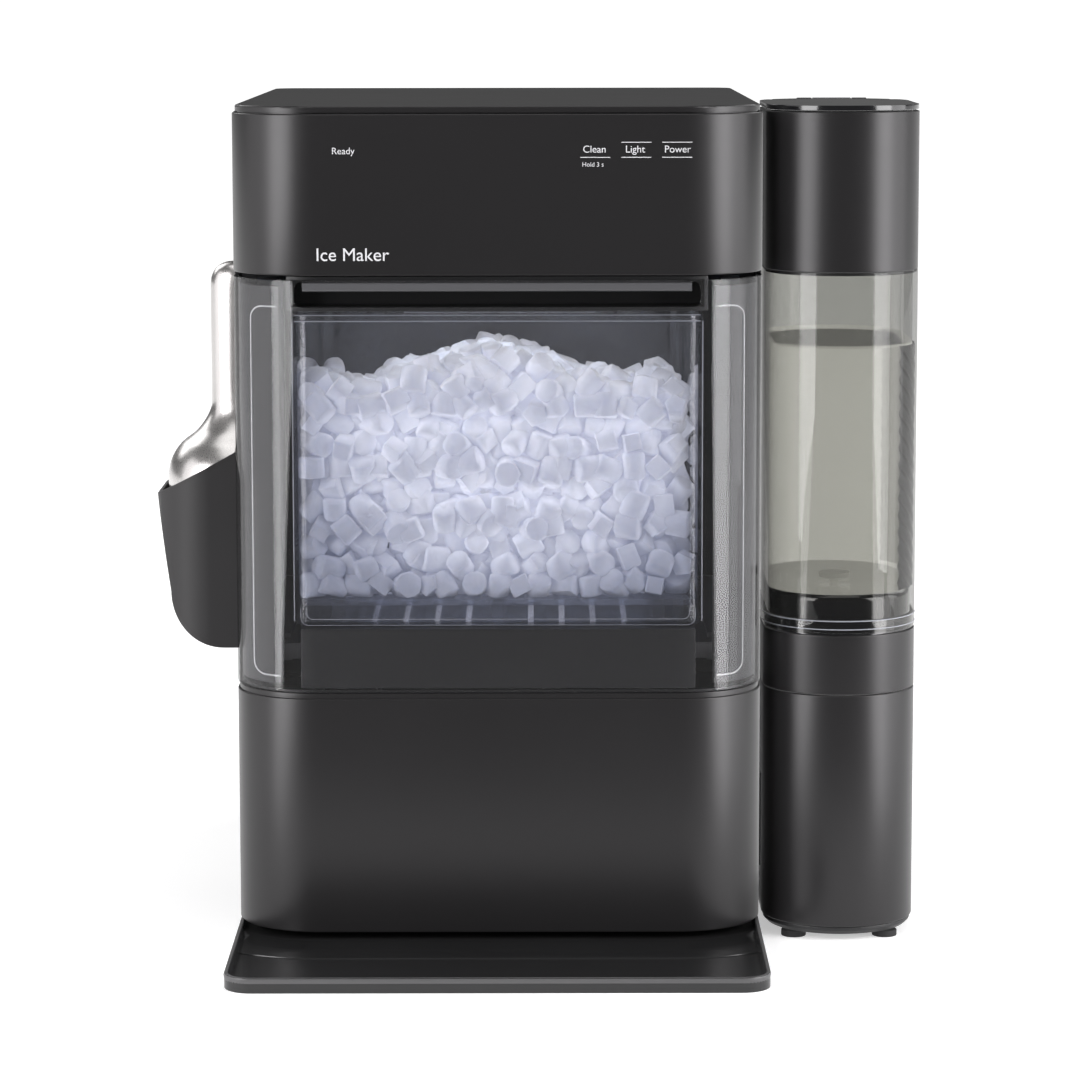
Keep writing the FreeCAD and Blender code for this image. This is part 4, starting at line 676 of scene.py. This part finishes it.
def bin_foot_lines():
    """Two nested outlines on the bin's foot, a straight line turned up round each corner, as pale
    beads: painted highlights on the foot's edges.
    """
    turn = np.linspace(0, np.pi / 2, 6)
    y = BIN_LOW[1] - 0.1 * MM
    for name, half, z, radius in (("bin_foot_outer", 98 * MM, BIN_LOW[2] + 1 * MM, 4 * MM),
                                  ("bin_foot_inner", 95 * MM, BIN_LOW[2] + 4 * MM, 3 * MM)):
        top = BIN_LOW[2] + 9.5 * MM
        x = np.concatenate([[half], half - radius + radius * np.cos(turn), [0.0]])
        up = np.concatenate([[top], z + radius - radius * np.sin(turn), [z]])
        x, up = np.concatenate([-x, x[-2::-1]]), np.concatenate([up, up[-2::-1]])
        bead(name, np.stack([CENTRE_X + x, np.full(len(x), y), up], 1), 0.18 * MM, "painted_edge_highlight",
             "drawer")


def drawer_front():
    """Smoke shell with the rounded finger slot.

    The outer face is a grid over the plan path and the height. Columns and rows close up
    near the slot's corners so that grid points fall on their quarter circles; points inside
    the slot are dropped, and the wall's thickness comes from a modifier.
    """
    radius, half, margin, slot_height = 4.0 * MM, 100.5 * MM, 0.9 * MM, 12.4 * MM
    top = SHELL_HIGH[2] - margin
    bottom = top - slot_height
    turn = np.linspace(0, np.pi / 2, 6)
    near = half - radius + radius * np.sin(turn)
    centre = HALF_WIDTH - FRONT_RADIUS
    angle = np.arcsin(np.clip((near - centre) / FRONT_RADIUS, -1, 1))
    angle = np.concatenate([np.linspace(0, angle[0], 4)[:-1], angle,
                            np.linspace(angle[-1], np.pi / 2, 20)[1:]])
    side = np.linspace(FRONT_Y + FRONT_RADIUS, WRAP_END_Y, 5)[1:]
    half_x = np.concatenate([[0], np.linspace(0, centre, 8)[1:-1],
                             centre + FRONT_RADIUS * np.sin(angle), np.full(4, HALF_WIDTH)])
    half_y = np.concatenate([np.full(7, FRONT_Y),
                             FRONT_Y + FRONT_RADIUS - FRONT_RADIUS * np.cos(angle), side])
    x = np.concatenate([-half_x[:0:-1], half_x])
    y = np.concatenate([half_y[:0:-1], half_y])
    z = np.concatenate([np.linspace(SHELL_LOW[2], bottom, 6)[:-1],
                        bottom + radius - radius * np.cos(turn),
                        [(bottom + top) / 2], top - radius + radius * np.sin(turn),
                        [SHELL_HIGH[2]]])
    columns, rows = len(x), len(z)
    grid = np.stack([np.broadcast_to(x[:, None] + CENTRE_X, (columns, rows)),
                     np.broadcast_to(y[:, None], (columns, rows)),
                     np.broadcast_to(z[None, :], (columns, rows))], 2).reshape(-1, 3)
    from_x = np.maximum(np.abs(grid[:, 0] - CENTRE_X) - (half - radius), 0)
    from_z = np.maximum(np.abs(grid[:, 2] - (bottom + top) / 2) - ((top - bottom) / 2 - radius), 0)
    inside = np.hypot(from_x, from_z) < radius - 1e-6
    faces = []
    for quad in grid_faces(columns, rows):
        kept = [v for v in quad if not inside[v]]
        if len(kept) > 2:
            faces.append(tuple(kept))
    used = np.unique(np.concatenate([np.array(f) for f in faces]))
    renumber = np.full(len(grid), -1)
    renumber[used] = np.arange(len(used))
    piece = new_piece("drawer_front", grid[used], [tuple(renumber[list(f)]) for f in faces],
                      "smoke_shell", "drawer", "smoke_shell", 60)
    thick = piece.modifiers.new("wall", "SOLIDIFY")
    thick.thickness, thick.offset = WALL, -1.0
    soft = piece.modifiers.new("edges", "BEVEL")
    soft.width, soft.segments, soft.limit_method = 0.5 * MM, 2, "ANGLE"
    soft.angle_limit = math.radians(50)
    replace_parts(piece, "drawer_shell")


def tank_outline(inset=0.0):
    """Plan outline of the tank and its dock, taken in by inset."""
    return capsule(TANK_HALF - inset, RESERVOIR_LOW[1] + inset,
                   RESERVOIR_LOW[1] + TANK_LENGTH - inset)


def tank_shells():
    """Clear reservoir, its lip and the dock's outer wall, all on the capsule outline."""
    path, normals = tank_outline()
    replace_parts(sweep("tank_wall", path, normals,
                      wall(2.4 * MM, RESERVOIR_LOW[2], RESERVOIR_HIGH[2], 0.5 * MM),
                      "clear_tank", "tank_reservoir", closed=True), "tank_reservoir")
    sweep("tank_lip", path, normals,
          wall(1.6 * MM, RESERVOIR_HIGH[2] - 1.6 * MM, RESERVOIR_HIGH[2] + 0.2 * MM, 0.3 * MM,
               -0.5 * MM), "black_plastic", body="tank", closed=True)
    low, high = span("dock_shell")
    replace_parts(sweep("dock_wall", path, normals, wall(2.4 * MM, low[2], high[2], 0.6 * MM),
                      "charcoal_panel", "dock_shell", closed=True), "dock_shell")


def tank_foot():
    """Clear flange ring under the reservoir, round the raised black floor."""
    path, normals = tank_outline()
    sweep("flange_ring", path, normals,
          wall(2.0 * MM, FLANGE_TOP - 6.9 * MM, FLANGE_TOP - 0.1 * MM, 0.8 * MM, -0.1 * MM),
          "clear_tank", body="tank", closed=True)


def flange_lines():
    """Two thin pale beads round the front of the clear flange: painted highlights on its edges."""
    path, normals = tank_outline()
    count = len(path) // 2
    front = path[:count] + 0.1 * MM * normals[:count]
    for name, z in (("flange_line_top", FLANGE_TOP - 0.2 * MM),
                    ("flange_line_low", FLANGE_TOP - 4.4 * MM)):
        bead(name, np.column_stack([front, np.full(count, z)]), 0.25 * MM, "painted_edge_highlight", "tank")


def tank_dark_side_strip():
    """Dark ribbed strip round the tank's outer side, darker than the clear wall round it.

    A strip round the side, 1 mm under the wall's face; its ribs climb diagonally, a smooth
    wave of the height plus the distance round.
    """
    depth, rib_pitch, rib_height = 1.0 * MM, 8.5 * MM, 0.9 * MM
    half = TANK_HALF - depth
    low_y, high_y = RESERVOIR_LOW[1] + depth, RESERVOIR_LOW[1] + TANK_LENGTH - depth
    turn = np.radians(np.linspace(-41, 0, 24))
    front = np.stack([half * np.cos(turn), half * np.sin(turn) + low_y + half], 1)
    side = np.stack([np.full(30, half), np.linspace(low_y + half, high_y - half, 32)[1:-1]], 1)
    back = np.stack([front[::-1, 0], low_y + high_y - front[::-1, 1]], 1)
    path = np.vstack([front, side, back])
    z = np.linspace(TANK_FLOOR + 1 * MM, WATER_LEVEL - 1.1 * MM, 240)
    along = np.concatenate([[0], np.cumsum(np.linalg.norm(np.diff(path, axis=0), axis=1))])
    ribs = 0.5 + 0.5 * np.sin(2 * np.pi * (z[None, :] + 0.7 * along[:, None]) / rib_pitch)
    reach = 1 - rib_height * ribs ** 2 / half
    points = np.stack([path[:, None, 0] * reach + TANK_X,
                       np.broadcast_to(path[:, None, 1], reach.shape),
                       np.broadcast_to(z[None, :], reach.shape)], 2)
    return new_piece("tank_side_dark", points, grid_faces(len(path), len(z)), "tank_side_dark", "tank",
                     "clear_tank", 60)


def smooth_between(values, samples):
    """Smooth curve through evenly numbered values: Catmull-Rom, each column on its own."""
    values = np.asarray(values, float)
    padded = np.vstack([2 * values[:1] - values[1:2], values, 2 * values[-1:] - values[-2:-1]])
    t = np.linspace(0, len(values) - 1, samples)
    i = np.minimum(t.astype(int), len(values) - 2)
    f = (t - i)[:, None]
    a, b, c, d = padded[i], padded[i + 1], padded[i + 2], padded[i + 3]
    return 0.5 * (2 * b + (c - a) * f + (2 * a - 5 * b + 4 * c - d) * f ** 2
                  + (3 * b - a - 3 * c + d) * f ** 3)


def steel_scoop():
    """Pressed steel scoop, a smooth loft of half ovals from the lip to the handle's end.

    Section s is the curve x = edge - depth * cos(a), y = half width * sin(a), with the height,
    half width, depth and gap of s taken smoothly between the stated sections.
    """
    tip, top, rows, columns = 158.0, 337.0, 120, 33
    sections = smooth_between([
        (tip, 26.0, 15.0, 3.2), (tip + 10, 32.0, 23.0, 3.2), (tip + 27, 36.5, 31.0, 3.2),
        (tip + 60, 38.0, 36.3, 3.2), (tip + 74, 36.0, 35.9, 3.2), (tip + 84, 29.5, 30.5, 3.2),
        (tip + 92, 20.5, 21.5, 2.7), (tip + 102, 14.0, 16.2, 1.8), (tip + 112, 12.5, 15.6, 1.5),
        (tip + 134, 12.5, 15.6, 1.5), (top - 18, 12.5, 15.6, 1.5), (top - 9, 12.0, 15.2, 1.5),
        (top - 3.5, 9.8, 12.4, 1.5), (top - 0.8, 6.0, 8.0, 1.5), (top, 1.5, 3.0, 1.5)], rows)
    height, half_width, depth, gap = sections.T[:, :, None] * MM
    a = np.linspace(-np.pi / 2, np.pi / 2, columns)[None, :]
    edge = CENTRE_X - HALF_WIDTH - gap
    middle_y = (SCOOP_LOW[1] + SCOOP_HIGH[1]) / 2
    full = np.sign(np.cos(a)) * np.abs(np.cos(a)) ** 0.85
    points = np.stack([edge - depth * full, middle_y + half_width * np.sin(a),
                       np.broadcast_to(height, (rows, columns))], 2)
    piece = new_piece("steel_scoop", points, grid_faces(rows, columns), "polished_steel", "scoop",
                      "polished_steel", 60)
    thick = piece.modifiers.new("wall", "SOLIDIFY")
    thick.thickness, thick.offset = 1.3 * MM, -1.0
    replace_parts(piece, "scoop")


def tray_shell():
    """Band round the tray's rim, which leans out a little towards its top, in a paler copy of the
    tray plastic: painted light where the rim catches the light.
    """
    low, high = span("drip_tray")
    radius, rear = 14 * MM, 3 * MM
    corners = [(low[0] + radius, low[1] + radius, radius, np.pi),
               (high[0] - radius, low[1] + radius, radius, 1.5 * np.pi),
               (high[0] - rear, high[1] - rear, rear, 0.0),
               (low[0] + rear, high[1] - rear, rear, 0.5 * np.pi)]
    path, normals = [], []
    for x, y, r, start in corners:
        turn = start + np.linspace(0, np.pi / 2, 14)
        lean = np.stack([np.cos(turn), np.sin(turn)], 1)
        path.append(np.array([x, y]) + r * lean)
        normals.append(lean)
    path, normals = np.vstack(path), np.vstack(normals)
    rim = high[2]
    face = np.array([(-1.6, 0.0), (-0.7, 0.2), (-0.35, 1.0), (0.1, rim / MM - 1.5),
                     (0.2, rim / MM - 0.9), (0.0, rim / MM - 0.25), (-0.5, rim / MM + 0.1),
                     (-1.6, rim / MM + 0.1), (-1.6, 0.0)])
    band = sweep_open(path, normals, face * MM)
    new_piece("tray_rim", *band, "tray_rim", "tray", "tray_plastic", 35)


def sweep_open(path, normals, profile):
    """Points and faces of an open profile swept round a closed plan path."""
    plan = path[:, None, :] + normals[:, None, :] * profile[None, :, :1]
    points = np.concatenate(
        [plan, np.broadcast_to(profile[None, :, 1:], plan[..., :1].shape)], 2)
    faces = [tuple(f) for f in grid_faces(len(path), len(profile), True, False)]
    return points.reshape(-1, 3), faces


cabinet_wraps()
frame_sides()
frame_beads()
bin_edges()
bin_foot_lines()
drawer_front()
tank_shells()
tank_foot()
flange_lines()
tank_dark_side_strip()
steel_scoop()
tray_shell()


# ---------------------------------------------------------------- ice
def nugget_shape(sides, rng):
    """Short cylinder with worn edges: ring r has its own radius and height, both jittered."""
    turn = np.linspace(0, 2 * np.pi, sides, endpoint=False)
    profile = np.array([(0.84, -1.0), (1.0, -0.86), (1.0, 0.86), (0.84, 1.0)])
    rings = len(profile)
    radius = profile[:, 0, None] * (1 + rng.uniform(-0.05, 0.05, (rings, sides)))
    ring = np.stack([radius * np.cos(turn), radius * np.sin(turn),
                     np.broadcast_to(profile[:, 1, None], radius.shape)], 2)
    points = np.vstack([ring.reshape(-1, 3), [[0, 0, -0.97], [0, 0, 0.97]]])
    points[:, 2] += rng.uniform(-0.05, 0.05, len(points))
    faces = [tuple(f) for f in grid_faces(rings, sides, close_columns=True)]
    low_end, high_end = rings * sides, rings * sides + 1
    for k in range(sides):
        faces.append((low_end, (k + 1) % sides, k))
        faces.append((high_end, (rings - 1) * sides + k, (rings - 1) * sides + (k + 1) % sides))
    return points, faces


HEAP_X = np.array([-104, -93, -83, -72, -65, -58, -43, -32, -16, -6, 2, 10, 19, 30, 45, 60, 70,
                   75, 82, 89, 96, 104]) * MM
HEAP_Z = np.array([293, 292, 288, 284, 287, 292, 298, 299, 305, 307, 306, 304, 300, 295, 292, 292,
                   289, 290, 296, 292, 286, 280]) * MM


def heap_height(x, y):
    """Height of the heap: a mound under the chute, lower by the side walls, in world z."""
    front = np.interp(x - CENTRE_X, HEAP_X, HEAP_Z)
    depth = (y - BIN_LOW[1]) / (BIN_HIGH[1] - BIN_LOW[1])
    return front - 0.003 - 0.016 * np.clip(depth, 0, 1)


def heap_places(rng):
    """Jittered close packing of nugget centres in the outer layers of the heap."""
    pitch = 0.0116
    low = np.array([BIN_LOW[0] + 0.009, BIN_LOW[1] + 0.009, STRAINER_TOP + 0.006])
    high = np.array([BIN_HIGH[0] - 0.009, BIN_HIGH[1] - 0.009, BIN_HIGH[2]])
    layers = int((high[2] - low[2]) / (pitch * 0.86)) + 1
    rows = int((high[1] - low[1]) / (pitch * 0.88)) + 1
    columns = int((high[0] - low[0]) / pitch) + 1
    k, j, i = [a.ravel() for a in np.meshgrid(np.arange(layers), np.arange(rows),
                                              np.arange(columns), indexing="ij")]
    x = low[0] + (i + 0.5 * ((j + k) % 2)) * pitch
    y = low[1] + (j + 0.33 * (k % 3)) * pitch * 0.88
    z = low[2] + k * pitch * 0.86
    places = np.stack([x, y, z], 1) + rng.normal(0, 0.0021, (len(x), 3))
    places[:, 0] = np.clip(places[:, 0], low[0], high[0])
    places[:, 1] = np.clip(places[:, 1], low[1], high[1])
    places[:, 2] = np.maximum(places[:, 2], low[2])
    surface = heap_height(places[:, 0], places[:, 1]) - 0.006
    surface += rng.normal(0, 0.0018, len(places))
    inside = places[:, 2] < surface
    skin = 0.026
    outer = ((places[:, 1] < low[1] + skin) | (places[:, 2] > surface - skin)
             | (places[:, 0] < low[0] + 0.014) | (places[:, 0] > high[0] - 0.014)
             | (places[:, 1] > high[1] - 0.012))
    return places[inside & outer]


def turns(rng, count):
    """Random rotation matrices, from unit quaternions."""
    q = rng.normal(size=(count, 4))
    q /= np.linalg.norm(q, axis=1)[:, None]
    w, x, y, z = q.T
    return np.stack([
        np.stack([1 - 2 * (y * y + z * z), 2 * (x * y - z * w), 2 * (x * z + y * w)], 1),
        np.stack([2 * (x * y + z * w), 1 - 2 * (x * x + z * z), 2 * (y * z - x * w)], 1),
        np.stack([2 * (x * z - y * w), 2 * (y * z + x * w), 1 - 2 * (x * x + y * y)], 1)], 1)


def ice_heap():
    """All nuggets as one piece in the drawer."""
    rng = np.random.default_rng(7)
    places = heap_places(rng)
    matrices = turns(rng, len(places))
    radius = rng.uniform(0.0056, 0.0068, len(places))
    half_length = rng.uniform(0.0050, 0.0070, len(places))
    shapes = [nugget_shape(sides, rng) for sides in (12, 11, 12, 4, 12, 5)]
    points, faces, start = [], [], 0
    low = np.array([BIN_LOW[0], BIN_LOW[1], STRAINER_TOP - 0.0022]) + 0.0025
    high = np.array([BIN_HIGH[0], BIN_HIGH[1], 1.0]) - 0.0025
    for index, place in enumerate(places):
        shape, shape_faces = shapes[index % len(shapes)]
        size = np.array([radius[index], radius[index], half_length[index]])
        cloud = (shape * size) @ matrices[index].T + place
        points.append(np.clip(cloud, low, high))
        faces.extend(tuple(v + start for v in face) for face in shape_faces)
        start += len(shape)
    return new_piece("nugget_ice", np.vstack(points), faces, "ice", "drawer", "clear_bin", 50)


ice_heap()


# ---------------------------------------------------------------- water
def water_body():
    """Water in the tank: the reservoir's inner outline, with a meniscus at the top."""
    wall_gap = 2.45 * MM
    bottom = TANK_FLOOR + 0.0001
    rings = [(0.0006, bottom), (0.0, bottom + 0.0006), (0.0, WATER_LEVEL - 0.0002),
             (0.0004, WATER_LEVEL - 0.0009), (0.0014, WATER_LEVEL - 0.0016),
             (0.0035, WATER_LEVEL - 0.002)]
    points = []
    for inset, z in rings:
        path, _ = tank_outline(wall_gap + inset)
        points.append(np.column_stack([path, np.full(len(path), z)]))
    count = len(points[0])
    faces = [tuple(f) for f in grid_faces(len(rings), count, close_columns=True)]
    faces.append(tuple(range(count))[::-1])
    new_piece("tank_water", np.vstack(points), faces, "water", "tank", "clear_tank", 50)
    return new_piece("water_surface", points[-1], [tuple(range(count))], "water_surface", "tank",
                     "clear_tank")


water_body()


# ---------------------------------------------------------------- printed controls
def label(name, words, x, z, size):
    """Words printed on the head, with their left end at x and their baseline at z."""
    curve = bpy.data.curves.new(name, "FONT")
    curve.body = words
    curve.size = size
    text = bpy.data.objects.new(name, curve)
    bpy.context.collection.objects.link(text)
    bpy.context.view_layer.update()
    mesh = bpy.data.meshes.new_from_object(text)
    bpy.data.objects.remove(text)
    mesh.transform(Matrix.Translation((x, PRINT_Y, z))
                   @ Matrix.Rotation(math.pi / 2, 4, "X"))
    mesh.materials.clear()
    mesh.materials.append(FINISHES["print"])
    mesh.name = name
    piece = bpy.data.objects.new(name, mesh)
    bpy.context.collection.objects.link(piece)
    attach(piece, "cabinet")
    return piece


def printed_line(name, x0, x1, z, thickness=0.00035):
    """Thin printed rule."""
    points = [(x, PRINT_Y, height) for x, height in (
        (x0, z), (x1, z), (x1, z + thickness), (x0, z + thickness))]
    return new_piece(name, points, [(0, 1, 2, 3)], "print", "cabinet", "led_diffuser")


LABELS = [("label_status", "Ready", -80.5, 396.0, 4.6), ("label_clean", "Clean", 42.0, 396.6, 4.9),
          ("label_light", "Light", 62.7, 396.6, 4.9), ("label_power", "Power", 81.7, 396.6, 4.9),
          ("label_hold", "Hold 3 s", 41.6, 389.8, 3.1),
          ("label_name", "Ice Maker", -88.8, 344.0, 9.0)]
for name, words, x, z, size in LABELS:
    label(name, words, CENTRE_X + x * MM, z * MM, size * MM)
for name, x0, x1, z in [("rule_clean", 40.8, 55.4, 394.1), ("rule_light", 60.8, 75.4, 394.1),
                        ("rule_power", 80.7, 95.4, 394.1), ("rule_light_top", 60.8, 75.4, 401.4),
                        ("rule_power_top", 80.7, 95.4, 401.4)]:
    printed_line(name, CENTRE_X + x0 * MM, CENTRE_X + x1 * MM, z * MM)


# ---------------------------------------------------------------- studio
def studio_floor():
    """White table: a narrow apron in front of the object, and wide beside and behind it. Its glow
    is dimmer near the object: painted shade round it.
    """
    g = Graph("studio_floor")
    colour = g.blend(g.noise(2), rgba(0.78, 0.78, 0.78), rgba(0.80, 0.80, 0.80))
    across, along = g.axis("X"), g.axis("Y")
    # Painted shade: the floor's glow is at 0.45 within 0.6 m of the object and rises to full at 2.5
    # m.
    far = g.add("ShaderNodeMapRange", {}, {
        "Value": g.math("SQRT", across * across + along * along), "From Min": 0.6,
        "From Max": 2.5, "To Min": 0.0, "To Max": 1.0})
    finish = g.finish(g.principled({
        "Base Color": colour, "Roughness": 0.9, "Specular IOR Level": 0.1,
        "Emission Color": g.blend(far, rgba(0.45, 0.45, 0.45), rgba(1, 1, 1)),
        "Emission Strength": 1.0}))
    outline = [(-0.42, -0.5), (0.42, -0.5), (0.6, -0.1), (400, -0.1), (400, 400), (-400, 400),
               (-400, -0.1), (-0.6, -0.1)]
    stage_mesh("floor", [(x, y, 0) for x, y in outline], finish)


def stage_mesh(name, points, finish):
    """One-faced studio mesh."""
    mesh = bpy.data.meshes.new(name)
    mesh.from_pydata(points, [], [tuple(range(len(points)))])
    mesh.materials.append(finish)
    piece = bpy.data.objects.new(name, mesh)
    bpy.context.collection.objects.link(piece)
    piece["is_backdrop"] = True
    return piece


def softbox(name, corners, strength):
    """Glowing panel whose corners are (azimuth in degrees, height), 2 m from the object.

    It lights and shows in reflections, but doesn't block the camera in a side view.
    """
    g = Graph(name)
    finish = g.finish(g.add("ShaderNodeEmission", {}, {
        "Color": rgba(1, 0.99, 1), "Strength": strength}))
    middle = math.radians(sum(a for a, _ in corners) / len(corners))
    points = []
    for azimuth, height in corners:
        angle = math.radians(azimuth)
        reach = 2.0 / math.cos(angle - middle)
        points.append((reach * math.sin(angle) + CENTRE_X, FRONT_Y - reach * math.cos(angle),
                       height))
    stage_mesh(name, points, finish).visible_camera = False


def area_light(name, place, target, width, height, power, colour=(1, 1, 1)):
    """Rectangular lamp at place that faces target."""
    data = bpy.data.lights.new(name, "AREA")
    data.shape = "RECTANGLE"
    data.size, data.size_y = width, height
    data.energy = power
    data.color = colour
    lamp = bpy.data.objects.new(name, data)
    lamp.location = place
    lamp.rotation_euler = (Vector(target) - Vector(place)).to_track_quat("-Z", "Y").to_euler()
    bpy.context.collection.objects.link(lamp)
    return lamp


def studio_world():
    """Even pale surroundings."""
    world = bpy.data.worlds.new("studio")
    world.use_nodes = True
    background = world.node_tree.nodes["Background"]
    background.inputs["Color"].default_value = rgba(1, 1, 1)
    background.inputs["Strength"].default_value = 0.14
    bpy.context.scene.world = world


def studio_camera():
    """Camera in front of the drawer, a little above the lid, on a long lens."""
    data = bpy.data.cameras.new("camera")
    data.lens = 135.07
    data.sensor_width = 36.0
    data.clip_start, data.clip_end = 0.05, 1000
    camera = bpy.data.objects.new("camera", data)
    camera.location = (CENTRE_X + 0.0213, FRONT_Y - 1.9814, 0.4771)
    camera.rotation_euler = (math.radians(90 - 7.787), 0.0016, 0)
    bpy.context.collection.objects.link(camera)
    bpy.context.scene.camera = camera


studio_floor()
studio_world()
studio_camera()
middle = (CENTRE_X, 0, 0.22)
softbox("softbox_left", [(-38, 1.7), (-39.5, 0.1), (-56, -0.15), (-61, -0.3), (-67, -0.3),
                         (-67, 1.7)], 9.0)
softbox("softbox_right", [(50, 1.7), (52, 0.1), (58, -0.15), (62, -0.3), (77, -0.3),
                          (77, 1.7)], 9.5)
softbox("wing_left", [(-68, 1.7), (-68, -0.35), (-104, -0.35), (-104, 1.7)], 1.5)
softbox("wing_right", [(78, 1.7), (78, -0.35), (104, -0.35), (104, 1.7)], 3.6)
area_light("overhead", (0, -0.1, 2.2), middle, 1.6, 1.6, 14)
area_light("rear_left", (-1.4, 1.6, 1.5), middle, 1.2, 1.2, 12)
area_light("rear_right", (1.4, 1.6, 1.5), middle, 1.2, 1.2, 12)
area_light("bin_light", (CENTRE_X, (BAY_LOW[1] + BAY_HIGH[1]) / 2 - 0.06, BAY_HIGH[2] - 0.0065),
           (CENTRE_X, BIN_LOW[1] + 0.08, 0.1), 0.14, 0.06, 0.05, (0.86, 0.92, 1))
bpy.context.scene.view_settings.view_transform = "Standard"

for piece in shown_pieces():
    if set(body_of(piece) or []) & {"tank", "lid"} or piece.name.startswith("dock_"):
        piece.visible_glossy = False
